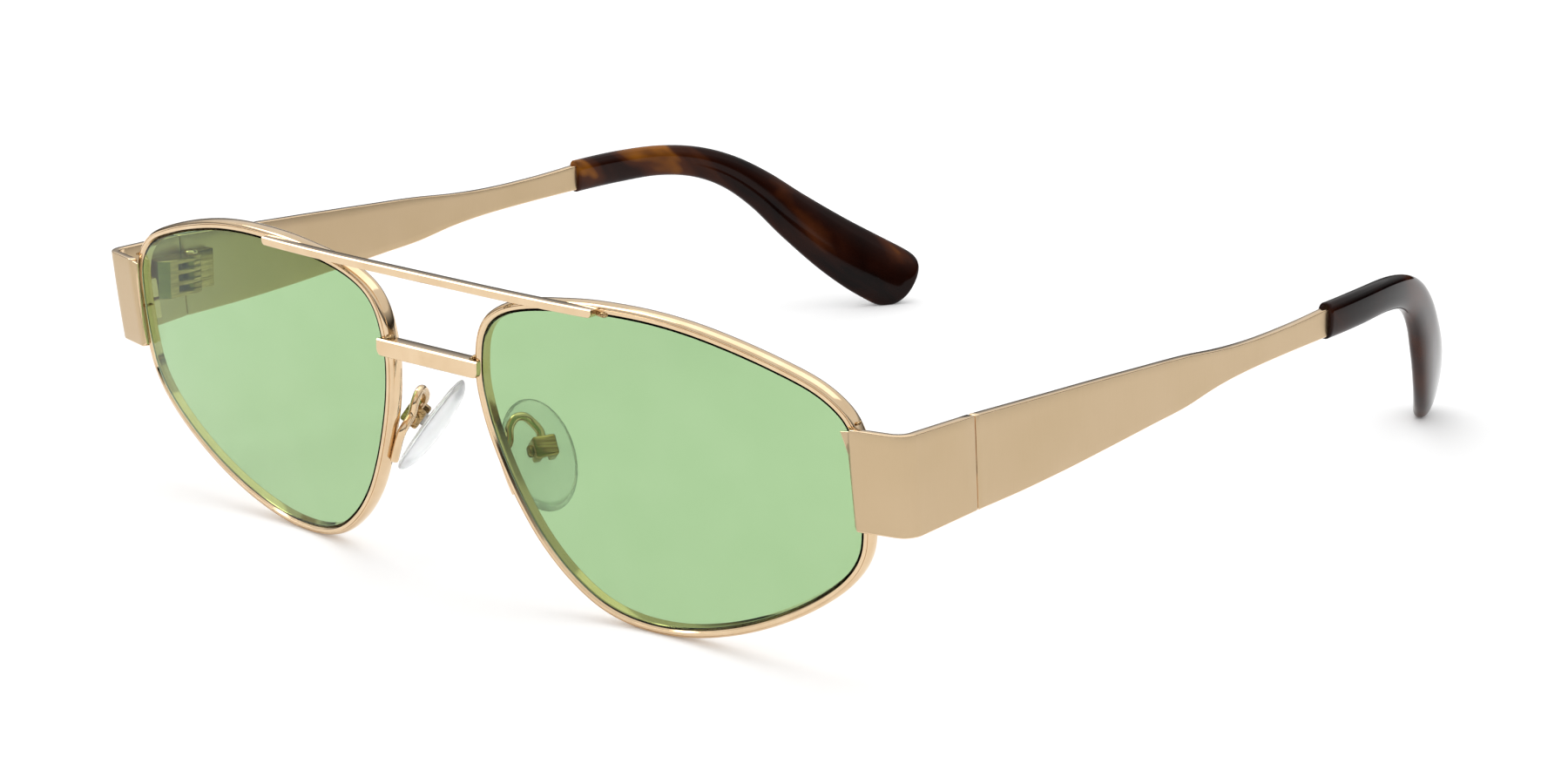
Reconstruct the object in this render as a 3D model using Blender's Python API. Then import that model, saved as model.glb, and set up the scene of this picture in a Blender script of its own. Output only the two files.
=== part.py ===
# Metal aviator sunglasses with a brow bar, wide plate temples and dark acetate temple tips.
#
# Frame: +X is the wearer's left, the lenses face -Y, the temples run back along +Y, +Z is up.
# The glasses stand on their rim bottoms and temple tips, which all touch Z = 0. The origin is
# on that floor, half way between the two sides and half way from front to back.
# Sizes are in millimetres, with Y measured from the lens plane, and become metres about the
# origin when a mesh is made.
import math

import bmesh
import bpy
from mathutils import Matrix, Vector

MM = 0.001
DEPTH_MID = 71.43      # origin behind the lens plane, half way from front to back

# ---- lenses and rims -------------------------------------------------------------------
LENS_W = 53.2          # width of one rim opening, seen from the front
LENS_H = 38.9          # height of one rim opening
NOSE_GAP = 17.2        # smallest distance between the two openings
WRAP = 0.184           # how fast each lens falls back towards the temple
TILT = 0.163           # how fast the front leans back towards the cheeks
BOW = 0.0044           # curvature of the lens surface, 1/mm
LENS_T = 1.4           # lens thickness
LENS_IN = 0.35         # lens front face behind the rim front
LENS_CLEAR = 0.14      # lens edge to rim groove
RIM_BAND = 1.4         # rim width from the opening to its outer wall
RIM_D = 2.15           # rim depth
GROOVE = 0.5           # depth of the V groove that holds the lens
KERF = 0.4             # cut through each rim, held shut by the closing blocks
RIM_STEPS = 56

# ---- joints between pieces -------------------------------------------------------------
SOLDER = 0.14          # gap left between two soldered pieces
SEAM = 0.25            # gap between endpiece and temple plate

# ---- bridge and brow bar ---------------------------------------------------------------
BRIDGE_H = 2.15        # height of the bridge bar
BRIDGE_PROUD = 0.75    # thickness of the bridge in front of the rims
BRIDGE_D = 2.1         # depth of the bridge between the rims
BRIDGE_LEVEL = 0.743   # bridge centre, as a share of the opening height
BROW_HALF = 28.3       # half length of the brow bar
BROW_H = 1.05          # height of the brow bar
BROW_D = 1.5           # depth of the brow bar
BROW_LEVEL = 1.012     # brow bar centre, as a share of the opening height

# ---- endpieces, hinges and temples -----------------------------------------------------
PLATE_T = 1.1          # thickness of endpiece and temple plates
PLATE_H = 12.4         # height of the endpiece
PLATE_LEVEL = 0.785    # endpiece top, as a share of the opening height
CORNER_OUT = 6.9       # endpiece corner, outwards from the opening
CORNER_R = 2.8         # outer radius of the endpiece corner
SEAM_BACK = 12.4       # seam behind the endpiece corner
SEAM_LEAN = 0.084      # lean of the seam, top forward
TOE_IN = 0.018         # temples converge towards the back
TEMPLE_L = 76.0        # visible metal temple, seam to tip mouth
TIP_DROP_X = 0.0053    # inward bend of the tips, 1/mm
KNUCKLE_R = 1.3        # hinge barrel radius
KNUCKLE_H = 0.76       # height of one of the seven knuckles
KNUCKLE_CLEAR = 0.09   # gap between knuckles
LEAF_T = 1.25          # thickness of the rear hinge leaf
PIN_R = 0.5            # hinge screw shank radius
PIN_CLEAR = 0.12       # screw hole clearance
HINGE_DROP = 2.4       # hinge top below the temple top

# ---- nose pads -------------------------------------------------------------------------
PAD_L = 14.8           # pad length
PAD_W = 9.2            # pad width
PAD_T = 1.9            # pad thickness
WIRE_R = 0.55          # pad arm wire radius
PAD_LEVEL = 0.424      # pad centre, as a share of the opening height
PAD_SET_X = 1.0        # pad centre outside the opening edge
PAD_SET_Y = 7.48       # pad centre behind the rim front
PAD_UP = Vector((-0.538, 0.214, 0.815)).normalized()
PAD_FACE = Vector((-0.718, 0.392, -0.577)).normalized()
PAD_SIDE = PAD_UP.cross(PAD_FACE).normalized()
PIVOT_BACK = 2.25      # pad screw behind the pad centre

# Opening outline: share of LENS_W from the nose side, share of LENS_H from the bottom.
OUTLINE = [
    (1.000, 0.610), (0.997, 0.689), (0.990, 0.743), (0.964, 0.807), (0.906, 0.866), (0.816, 0.913),
    (0.703, 0.956), (0.590, 0.986), (0.477, 1.000), (0.346, 0.999), (0.242, 0.985), (0.158, 0.967),
    (0.094, 0.941), (0.045, 0.902), (0.017, 0.848), (0.004, 0.776), (0.000, 0.686), (0.015, 0.566),
    (0.045, 0.440), (0.086, 0.314), (0.135, 0.203), (0.201, 0.105), (0.280, 0.033), (0.374, 0.001),
    (0.487, 0.004), (0.609, 0.041), (0.731, 0.105), (0.844, 0.190), (0.934, 0.285), (0.983, 0.378),
    (0.998, 0.486)]

for old in list(bpy.data.objects):
    bpy.data.objects.remove(old, do_unlink=True)


# ---- materials -------------------------------------------------------------------------
def material(name, colour, rough, metal, alpha=1.0):
    mat = bpy.data.materials.new(name)
    mat.use_nodes = True
    shader = mat.node_tree.nodes["Principled BSDF"]
    shader.inputs["Base Color"].default_value = (*colour, 1.0)
    shader.inputs["Roughness"].default_value = rough
    shader.inputs["Metallic"].default_value = metal
    shader.inputs["Alpha"].default_value = alpha
    mat.diffuse_color = (*colour, alpha)
    return mat


GOLD = material("polished_pale_gold", (0.72, 0.54, 0.33), 0.12, 1.0)
SATIN = material("satin_pale_gold", (0.62, 0.46, 0.29), 0.38, 1.0)
GREEN = material("green_lens", (0.42, 0.62, 0.34), 0.05, 0.0, 0.45)
CLEAR = material("clear_silicone", (0.92, 0.93, 0.94), 0.2, 0.0, 0.4)
ACETATE = material("dark_tortoise_acetate", (0.035, 0.012, 0.006), 0.12, 0.0)


# ---- mesh helpers ----------------------------------------------------------------------
def finish(name, bm, mat, angle=35.0):
    bmesh.ops.recalc_face_normals(bm, faces=bm.faces)
    mesh = bpy.data.meshes.new(name)
    bm.to_mesh(mesh)
    bm.free()
    mesh.materials.append(mat)
    mesh.shade_smooth()
    mesh.set_sharp_from_angle(angle=math.radians(angle))
    obj = bpy.data.objects.new(name, mesh)
    bpy.context.scene.collection.objects.link(obj)
    return obj


def metres(point):
    return (Vector(point) - Vector((0.0, DEPTH_MID, 0.0))) * MM


def skin(bm, rings, loop=False, cap_start=True, cap_end=True):
    """Quads between successive rings of points (mm); capped unless the rings form a loop."""
    rows = [[bm.verts.new(metres(p)) for p in ring] for ring in rings]
    count = len(rows[0])
    last = len(rows) if loop else len(rows) - 1
    for i in range(last):
        a, b = rows[i], rows[(i + 1) % len(rows)]
        for j in range(count):
            k = (j + 1) % count
            bm.faces.new((a[j], a[k], b[k], b[j]))
    if not loop and cap_start:
        bm.faces.new(list(reversed(rows[0])))
    if not loop and cap_end:
        bm.faces.new(rows[-1])
    return rows


def swept(name, rings, mat, loop=False):
    bm = bmesh.new()
    skin(bm, rings, loop)
    return finish(name, bm, mat)


def prism(name, outline, z0, z1, mat):
    """Upright prism over a plan outline of (x, y) points."""
    return swept(name, [[(x, y, z0) for x, y in outline], [(x, y, z1) for x, y in outline]], mat)


def mirrored(points, side):
    return [(p[0] * side, p[1], p[2]) for p in points]


def arc(cx, cy, radius, start, stop, steps):
    out = []
    for i in range(steps + 1):
        a = math.radians(start + (stop - start) * i / steps)
        out.append((cx + radius * math.cos(a), cy + radius * math.sin(a)))
    return out


def disc_ring(centre, axis, radius, steps, ref=None):
    axis = Vector(axis).normalized()
    u = axis.cross(Vector(ref) if ref else Vector((0.31, 0.27, 0.91))).normalized()
    v = axis.cross(u)
    out = []
    for i in range(steps):
        a = 2 * math.pi * i / steps
        out.append(Vector(centre) + radius * (math.cos(a) * u + math.sin(a) * v))
    return out


def turned(name, centre, axis, profile, mat, steps=16):
    """Round piece: (distance along the axis, radius) pairs, flat ends."""
    axis = Vector(axis).normalized()
    rings = [disc_ring(Vector(centre) + axis * d, axis, r, steps) for d, r in profile]
    return swept(name, rings, mat)


def block(name, centre, axes, halves, mat):
    """Box with its own axes; halves are half sizes along them."""
    c = Vector(centre)
    a, b, n = [Vector(axis) * h for axis, h in zip(axes, halves)]
    low = [c - a - b - n, c + a - b - n, c + a + b - n, c - a + b - n]
    return swept(name, [low, [p + 2 * n for p in low]], mat)


def cut(target, cutter, operation="DIFFERENCE"):
    cutter.hide_render = True
    cutter.display_type = "WIRE"
    mod = target.modifiers.new(cutter.name, "BOOLEAN")
    mod.operation = operation
    mod.solver = "EXACT"
    mod.object = cutter


def set_origin(obj, point):
    """Move an object's origin to a joint axis without moving its shape."""
    shift = metres(point)
    obj.data.transform(Matrix.Translation(-shift))
    obj.location = shift


def spline(points, closed, steps):
    """Catmull-Rom curve through the points, with steps samples per span."""
    pts = [Vector(p) for p in points]
    n = len(pts)
    spans = n if closed else n - 1
    out = []
    for i in range(spans):
        if closed:
            p0, p1, p2, p3 = pts[i - 1], pts[i], pts[(i + 1) % n], pts[(i + 2) % n]
        else:
            p0, p1 = pts[max(i - 1, 0)], pts[i]
            p2, p3 = pts[i + 1], pts[min(i + 2, n - 1)]
        for j in range(steps):
            t = j / steps
            out.append(0.5 * (2 * p1 + (p2 - p0) * t + (2 * p0 - 5 * p1 + 4 * p2 - p3) * t * t
                              + (3 * p1 - p0 - 3 * p2 + p3) * t ** 3))
    if not closed:
        out.append(pts[-1])
    return out


def resample(points, count, start, stop):
    """Evenly spaced points between two arc lengths of a polyline."""
    run = [0.0]
    for a, b in zip(points, points[1:]):
        run.append(run[-1] + (b - a).length)
    out = []
    i = 0
    for k in range(count + 1):
        s = start + (stop - start) * k / count
        while i < len(run) - 2 and run[i + 1] < s:
            i += 1
        t = (s - run[i]) / max(run[i + 1] - run[i], 1e-9)
        out.append(points[i].lerp(points[i + 1], t))
    return out


# ---- lens surface ----------------------------------------------------------------------
OPEN_IN = NOSE_GAP / 2                     # opening edge on the nose side
OPEN_OUT = OPEN_IN + LENS_W                # opening edge on the temple side
BASE_Z = RIM_BAND * math.cos(TILT) - 0.18  # opening bottom, so that the rims reach Z = 0
MID_X = OPEN_IN + 0.799 * LENS_W
MID_Z = BASE_Z + 0.45 * LENS_H


def surf(x, z):
    """Y of the rim front surface, for the +X lens."""
    dx, dz = x - MID_X, z - MID_Z
    return WRAP * dx - TILT * dz + 0.5 * BOW * (dx * dx + dz * dz)


def surf_normal(x, z):
    """Unit normal of that surface, pointing back to the wearer."""
    return Vector((-WRAP - BOW * (x - MID_X), 1.0, TILT - BOW * (z - MID_Z))).normalized()


def opening_curve():
    """Closed opening edge on the surface, starting at the kerf behind the endpiece."""
    flat = [(OPEN_IN + fx * LENS_W, 0.0, BASE_Z + fz * LENS_H) for fx, fz in OUTLINE]
    curve = spline(flat, True, 24)
    curve.append(curve[0].copy())
    return [Vector((p.x, surf(p.x, p.z), p.z)) for p in curve]


def curve_length(points):
    return sum((b - a).length for a, b in zip(points, points[1:]))


CURVE = opening_curve()
CURVE_L = curve_length(CURVE)


def edge_frames(start, stop, count):
    """(point, outward direction, back normal) along the opening edge."""
    pts = resample(CURVE, count, start, stop)
    frames = []
    for i, p in enumerate(pts):
        a = pts[i - 1] if i > 0 else pts[-2] if start == 0.0 else pts[0]
        b = pts[i + 1] if i < count else pts[1] if start == 0.0 else pts[-1]
        n = surf_normal(p.x, p.z)
        tangent = (b - a).normalized()
        out = tangent.cross(n).normalized()
        frames.append((p, out, n))
    middle = Vector((MID_X - 0.3 * LENS_W, 0.0, MID_Z))
    flip = 1.0 if frames[0][1].dot(frames[0][0] - middle) > 0 else -1.0
    return [(p, out * flip, n) for p, out, n in frames]


def offset(frame, u, v):
    p, out, n = frame
    return p + out * u + n * v


def opening_x(z, nose=True):
    """X of the opening edge at a height."""
    best = None
    for a, b in zip(CURVE, CURVE[1:]):
        if (a.z - z) * (b.z - z) <= 0 and a.z != b.z:
            x = a.x + (b.x - a.x) * (z - a.z) / (b.z - a.z)
            if best is None or (x < best if nose else x > best):
                best = x
    return best


# Rim section: distance out from the opening, distance back from the front.
GROOVE_V = LENS_IN + LENS_T / 2
RIM_PROFILE = [
    (0.12, 0.0), (RIM_BAND - 0.3, 0.0), (RIM_BAND - 0.2, 0.1), (RIM_BAND - 0.2, 0.35),
    (RIM_BAND - 0.35, 0.5), (RIM_BAND - 0.1, 0.7), (RIM_BAND, 1.2), (RIM_BAND - 0.06, 1.8),
    (RIM_BAND - 0.35, RIM_D - 0.08), (0.12, RIM_D), (0.0, RIM_D - 0.12),
    (0.0, GROOVE_V + 0.5), (GROOVE, GROOVE_V), (0.0, GROOVE_V - 0.5), (0.0, 0.12)]
LENS_PROFILE = [
    (-LENS_CLEAR, LENS_IN), (-LENS_CLEAR, GROOVE_V - 0.38), (GROOVE - 0.2, GROOVE_V),
    (-LENS_CLEAR, GROOVE_V + 0.38), (-LENS_CLEAR, LENS_IN + LENS_T)]


def make_rim(side, tag):
    frames = edge_frames(KERF / 2, CURVE_L - KERF / 2, RIM_STEPS)
    rings = [mirrored([offset(f, u, v) for u, v in RIM_PROFILE], side) for f in frames]
    swept("rim_" + tag, rings, GOLD)


def make_lens(side, tag):
    frames = edge_frames(0.0, CURVE_L, RIM_STEPS)[:-1]
    hub = Vector((OPEN_IN + 0.52 * LENS_W, 0.0, BASE_Z + 0.55 * LENS_H))
    bm = bmesh.new()

    def face_ring(share, depth):
        ring = []
        for f in frames:
            edge = offset(f, -LENS_CLEAR, 0.0)
            x = hub.x + (edge.x - hub.x) * share
            z = hub.z + (edge.z - hub.z) * share
            ring.append(Vector((x, surf(x, z), z)) + surf_normal(x, z) * depth)
        return ring

    rings = [face_ring(share, LENS_IN) for share in (0.35, 0.7)]
    rings += [[offset(f, u, v) for f in frames] for u, v in LENS_PROFILE]
    rings += [face_ring(share, LENS_IN + LENS_T) for share in (0.7, 0.35)]
    rows = skin(bm, [mirrored(r, side) for r in rings], cap_start=False, cap_end=False)
    for row, depth in ((rows[0], LENS_IN), (rows[-1], LENS_IN + LENS_T)):
        p = Vector((hub.x, surf(hub.x, hub.z), hub.z)) + surf_normal(hub.x, hub.z) * depth
        tip = bm.verts.new(metres((p.x * side, p.y, p.z)))
        for a, b in zip(row, row[1:] + row[:1]):
            bm.faces.new((a, b, tip))
    finish("lens_" + tag, bm, GREEN)


# ---- bridge and brow bar ---------------------------------------------------------------
def bar_section(x, front, back, low, high, bevel):
    return [(x, front + bevel, high), (x, front, high - bevel), (x, front, low + 0.12),
            (x, front + 0.12, low), (x, back, low), (x, back, high)]


def make_bridge():
    level = BASE_Z + BRIDGE_LEVEL * LENS_H
    low, high = level - BRIDGE_H / 2, level + BRIDGE_H / 2
    end = opening_x(level)
    wall = min(opening_x(low), opening_x(high)) - RIM_BAND - SOLDER
    strap_back = min(surf(x, z) for x in (wall, end) for z in (low, high)) - SOLDER
    front = strap_back - BRIDGE_PROUD
    deep = front + BRIDGE_D
    half = [(0.0, deep, 0.0), (wall - 0.1, deep, 0.0), (wall + 0.05, strap_back, 0.0),
            (end - 0.8, strap_back, 0.0), (end - 0.35, strap_back, 0.12),
            (end - 0.1, strap_back, 0.35), (end, strap_back, 0.75)]
    stations = [(-x, b, k) for x, b, k in reversed(half[1:])] + half
    swept("bridge", [bar_section(x, front, b, low + k, high, 0.35) for x, b, k in stations], GOLD)


def make_brow_bar():
    level = BASE_Z + BROW_LEVEL * LENS_H
    low, high = level - BROW_H / 2, level + BROW_H / 2
    flat = OPEN_IN + 0.05 * LENS_W
    half = [BROW_HALF * share for share in (0.0, 0.2, 0.38, 0.48, 0.59, 0.69, 0.79, 0.9)]
    half += [BROW_HALF - k for k in (0.7, 0.3, 0.1, 0.0)]
    lifts = {1: 0.08, 2: 0.25, 3: 0.5}
    stations = []
    for i, x in enumerate(half):
        back = min(surf(max(x, flat), z) for z in (low, high)) - SOLDER
        stations.append((x, back - BROW_D, back, lifts.get(i - (len(half) - 4), 0.0)))
    stations = [(-x, f, b, k) for x, f, b, k in reversed(stations[1:])] + stations
    swept("brow_bar", [bar_section(x, f, b, low + k, high, 0.28) for x, f, b, k in stations], GOLD)


# ---- endpieces -------------------------------------------------------------------------
PLATE_TOP = BASE_Z + PLATE_LEVEL * LENS_H
PLATE_LOW = PLATE_TOP - PLATE_H
PLATE_MID = (PLATE_TOP + PLATE_LOW) / 2
CORNER_X = OPEN_OUT + CORNER_OUT           # corner of the outer faces, before rounding
FLANGE_SLOPE = WRAP + BOW * (OPEN_OUT + 2.0 - MID_X)
CORNER_Y = surf(OPEN_OUT, PLATE_MID) - 1.6 * SOLDER - PLATE_T + FLANGE_SLOPE * CORNER_OUT
SEAM_Y = CORNER_Y + SEAM_BACK
SEAM_X = CORNER_X + 0.3                    # outer face at the seam


def seam_y(z):
    return SEAM_Y - SEAM_LEAN * (z - PLATE_MID)


def plate_stations():
    """Endpiece in plan at mid height: (x, y, outward normal x, y, share of the way back)."""
    run = math.hypot(CORNER_OUT, FLANGE_SLOPE * CORNER_OUT)
    front = Vector((CORNER_OUT, FLANGE_SLOPE * CORNER_OUT)) / run
    back = Vector((SEAM_X - CORNER_X, SEAM_BACK)).normalized()
    corner = Vector((CORNER_X, CORNER_Y))
    turn = math.acos(max(-1.0, min(1.0, front.dot(back))))
    cut_back = CORNER_R * math.tan(turn / 2)
    start = corner - front * cut_back
    centre = start + Vector((-front.y, front.x)) * CORNER_R
    out = []
    for share in (0.0, 0.35, 0.7):
        p = corner - front * (run + (cut_back - run) * share)
        out.append((p, Vector((front.y, -front.x))))
    steps = 8
    a0 = math.atan2(-front.x, front.y)
    for i in range(steps + 1):
        a = a0 + turn * i / steps
        n = Vector((math.cos(a), math.sin(a)))
        out.append((centre + n * CORNER_R, n))
    side_normal = Vector((back.y, -back.x))
    for share in (0.5, 1.0):
        first = corner + back * cut_back
        out.append((first.lerp(Vector((SEAM_X, SEAM_Y - SEAM / 2)), share), side_normal))
    return out


def make_endpiece(side, tag):
    stations = plate_stations()
    rings = []
    last = len(stations) - 1
    for i, (p, n) in enumerate(stations):
        share = i / last
        low = PLATE_LOW + 0.9 * max(0.0, (p.y - CORNER_Y) / SEAM_BACK)
        if i == 0:
            low += 0.25
        ring = []
        for inset, depth in ((0.12, 0.0), (0.0, 0.12), (0.0, PLATE_T - 0.1), (0.1, PLATE_T)):
            ring.append(plate_point(p, n, PLATE_TOP - inset, depth, share))
        for inset, depth in ((0.1, PLATE_T), (0.0, PLATE_T - 0.1), (0.0, 0.12), (0.12, 0.0)):
            ring.append(plate_point(p, n, low + inset, depth, share))
        mid = (PLATE_TOP + low) / 2
        ring.insert(4, plate_point(p, n, mid, PLATE_T, share))
        ring.append(plate_point(p, n, mid, 0.0, share))
        rings.append(mirrored(ring, side))
    swept("endpiece_" + tag, rings, SATIN)


def plate_point(p, n, z, depth, share):
    """Endpiece point: the flange follows the rim front, the back edge follows the seam."""
    x = p.x - n.x * depth
    y = p.y - n.y * depth
    xf = min(x, OPEN_OUT + 2.0)
    lean_front = surf(xf, z) - surf(xf, PLATE_MID)
    lean_back = seam_y(z) - SEAM_Y
    back = min(1.0, max(0.0, (p.y - CORNER_Y) / (SEAM_Y - CORNER_Y)))
    if share == 0.0:
        shift = opening_x(min(max(z, PLATE_LOW), PLATE_TOP), nose=False) - OPEN_OUT
        x += shift
        y += FLANGE_SLOPE * shift
    return (x, y + lean_front * (1 - back) + lean_back * back, z)


# ---- temples and tips ------------------------------------------------------------------
# Side outline of the metal temple: share of TEMPLE_L, top and bottom height of the plate.
TEMPLE_TOP = [(0.0, 0.0), (0.18, -0.62), (0.30, -1.0), (0.44, -1.5), (0.57, -2.0), (0.68, -2.7),
              (0.78, -2.95), (0.90, -2.75), (1.0, -2.3)]
TEMPLE_LOW = [(0.0, 0.0), (0.12, 0.3), (0.24, 0.85), (0.36, 1.6), (0.48, 2.4), (0.57, 3.0),
              (0.66, 4.1), (0.75, 4.75), (0.87, 5.15), (1.0, 5.4)]
SEAM_TOP = PLATE_TOP                       # plate height at the seam
SEAM_LOW = PLATE_LOW + 0.9
MOUTH_Y = SEAM_Y + TEMPLE_L                # where the acetate tip begins
HEAD_Z = SEAM_TOP + TEMPLE_TOP[-1][1]      # top of the metal at the tip mouth
FOOT_Z = SEAM_LOW + TEMPLE_LOW[-1][1]      # bottom of the metal at the tip mouth
CENTRE_Z = (HEAD_Z + FOOT_Z) / 2


def profile_at(table, share):
    """Smooth reading of a (share, value) table."""
    pts = spline([(a, b, 0.0) for a, b in table], False, 8)
    for a, b in zip(pts, pts[1:]):
        if a.x <= share <= b.x:
            return a.y + (b.y - a.y) * (share - a.x) / max(b.x - a.x, 1e-9)
    return pts[-1].y


def temple_x(y):
    """Outer face of the temple plate, and the line that the tip follows inwards."""
    bend = max(0.0, y - MOUTH_Y - 2.0)
    return SEAM_X - TOE_IN * (y - SEAM_Y) - TIP_DROP_X * bend * bend


# Tip centre line: distance behind the mouth, height above the floor, width of the tip.
TIP_LINE = [(0.0, 27.7, 4.9), (9.0, 27.85, 4.9), (17.5, 27.7, 4.7), (24.5, 26.6, 4.8),
            (30.5, 24.3, 5.3), (36.0, 20.7, 6.3), (41.5, 15.9, 7.8), (47.5, 10.9, 9.3),
            (52.0, 7.5, 10.1), (55.6, 5.055, 10.3)]
TIP_T = (2.3, 2.8, 3.2)                    # tip thickness at the mouth, bend and end
TANG_L = 34.0                              # metal core inside the tip
TANG_H = 2.8
TANG_T = 0.8
BORE_CLEAR = 0.2


def tip_frames(steps):
    """(centre, direction across the width, share along, width) down the tip, in side view."""
    pts = spline([(a, b, w) for a, b, w in TIP_LINE], False, steps)
    floor = TIP_LINE[-1][1]
    scale = (CENTRE_Z - floor) / (TIP_LINE[0][1] - floor)
    out = []
    for i, p in enumerate(pts):
        a, b = pts[max(i - 1, 0)], pts[min(i + 1, len(pts) - 1)]
        d = Vector((b.x - a.x, (b.y - a.y) * scale)).normalized()
        centre = Vector((MOUTH_Y + p.x, floor + (p.y - floor) * scale))
        out.append((centre, Vector((-d.y, d.x)), i / (len(pts) - 1), p.z))
    return out


def tip_point(centre, across, w, t):
    """Point of the tip: w across its width, t through its thickness (outwards)."""
    y = centre.x + across.x * w
    z = centre.y + across.y * w
    slope = (temple_x(y + 0.5) - temple_x(y - 0.5))
    n = Vector((1.0, -slope)).normalized()
    mid = temple_x(y) - PLATE_T / 2
    return (mid + n.x * t, y + n.y * t, z)


def oval(half_w, half_t, count, power=2.6):
    out = []
    for i in range(count):
        a = 2 * math.pi * (i + 0.5) / count
        c, s = math.cos(a), math.sin(a)
        out.append((half_w * math.copysign(abs(c) ** (2 / power), c),
                    half_t * math.copysign(abs(s) ** (2 / power), s)))
    return out


def make_tip(side, tag):
    frames = tip_frames(2)
    outer = []
    for centre, across, share, width in frames:
        thick = TIP_T[0] + (TIP_T[1] - TIP_T[0]) * min(1.0, share * 2)
        thick += (TIP_T[2] - TIP_T[1]) * max(0.0, share * 2 - 1)
        if share == 0.0:
            centre = centre + Vector((SEAM, 0.0))
        outer.append([tip_point(centre, across, w, t) for w, t in oval(width / 2, thick / 2, 12)])
    # Rounded end beyond the last section.
    centre, across, share, width = frames[-1]
    along = Vector((across.y, -across.x))
    for i in range(1, 5):
        a = math.radians(90 * i / 5)
        c = centre + along * (width / 2 * math.sin(a))
        k = math.cos(a)
        thick = TIP_T[2] * (0.45 + 0.55 * k)
        outer.append([tip_point(c, across, w, t) for w, t in oval(width / 2 * k, thick / 2, 12)])
    bore = []
    for centre, across, share, width in frames:
        if centre.x - MOUTH_Y > TANG_L + 3.0:
            break
        if share == 0.0:
            centre = centre + Vector((SEAM, 0.0))
        h, t = tang_size(centre.x - MOUTH_Y)
        h, t = h / 2 + BORE_CLEAR, t / 2 + BORE_CLEAR
        ring = [(h, t * 0.4), (h, t), (h * 0.4, t), (-h * 0.4, t), (-h, t), (-h, t * 0.4),
                (-h, -t * 0.4), (-h, -t), (-h * 0.4, -t), (h * 0.4, -t), (h, -t), (h, -t * 0.4)]
        bore.append([tip_point(centre, across, w, q) for w, q in ring])
    rings = list(reversed(bore)) + outer
    return swept("temple_tip_" + tag, [mirrored(r, side) for r in rings], ACETATE)


def tang_size(back):
    share = min(1.0, max(0.0, back / TANG_L))
    return TANG_H - 0.9 * share, TANG_T


def make_temple(side, tag):
    rings = []
    steps = 22
    for i in range(steps + 1):
        share = i / steps
        y = SEAM_Y + SEAM / 2 + (MOUTH_Y - SEAM_Y - SEAM / 2) * share
        top = SEAM_TOP + profile_at(TEMPLE_TOP, share)
        low = SEAM_LOW + profile_at(TEMPLE_LOW, share)
        fade = max(0.0, 1 - share * 6)
        ring = []
        for inset, depth in ((0.14, 0.0), (0.0, 0.14), (0.0, PLATE_T - 0.14), (0.14, PLATE_T)):
            z = top - inset
            yy = y + (seam_y(z) - SEAM_Y) * fade
            ring.append((temple_x(yy) - depth, yy, z))
        for inset, depth in ((0.14, PLATE_T), (0.0, PLATE_T - 0.14), (0.0, 0.14), (0.14, 0.0)):
            z = low + inset
            yy = y + (seam_y(z) - SEAM_Y) * fade
            ring.append((temple_x(yy) - depth, yy, z))
        rings.append(ring)
    tang = []
    for centre, across, share, width in tip_frames(2):
        back = centre.x - MOUTH_Y
        if back > TANG_L:
            break
        h, t = tang_size(back)
        h, t = h / 2, t / 2
        ring = [(h, t), (h, t * 0.2), (h, -t * 0.2), (h, -t),
                (-h, -t), (-h, -t * 0.2), (-h, t * 0.2), (-h, t)]
        if share == 0.0:
            centre = centre + Vector((0.02, 0.0))
        tang.append([tip_point(centre, across, w, q) for w, q in ring])
    rings += tang
    return swept("temple_" + tag, [mirrored(r, side) for r in rings], SATIN)


# ---- hinges ----------------------------------------------------------------------------
PLATE_IN = SEAM_X - PLATE_T                # inner face of the plates at the seam
AXIS_X = PLATE_IN - SOLDER - KNUCKLE_R - 0.2
AXIS_Y = SEAM_Y
HINGE_TOP = SEAM_TOP - HINGE_DROP
HINGE_LOW = HINGE_TOP - 7 * KNUCKLE_H
LEAF_OUT = PLATE_IN - SOLDER - AXIS_X - 0.12


def leaf(name, outline, side, slots, keep_from, forward):
    """Hinge leaf prism with its knuckle slots cut away; forward is -1 for the front leaf."""
    plan = [((AXIS_X + p) * side, AXIS_Y + q) for p, q in outline]
    obj = prism(name, plan, HINGE_LOW, HINGE_TOP, GOLD)
    bm = bmesh.new()
    for i in slots:
        z0 = HINGE_LOW + i * KNUCKLE_H - KNUCKLE_CLEAR / 2
        z1 = z0 + KNUCKLE_H + KNUCKLE_CLEAR
        z0 -= 1.0 if i == 0 else 0.0
        z1 += 1.0 if i == 6 else 0.0
        y0, y1 = AXIS_Y + keep_from * forward, AXIS_Y - 4.0 * forward
        x0, x1 = (AXIS_X - 4.0) * side, (AXIS_X + 4.0) * side
        ring = [(x0, y0), (x1, y0), (x1, y1), (x0, y1)]
        skin(bm, [[(x, y, z0) for x, y in ring], [(x, y, z1) for x, y in ring]])
    cutter = finish(name + "_slot_cut", bm, GOLD)
    cut(obj, cutter)
    hole = turned(name + "_pin_cut", (AXIS_X * side, AXIS_Y, HINGE_LOW - 1.5), (0, 0, 1),
                  [(0.0, PIN_R + PIN_CLEAR), (7 * KNUCKLE_H + 3.0, PIN_R + PIN_CLEAR)], GOLD)
    cut(obj, hole)
    return obj


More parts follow.
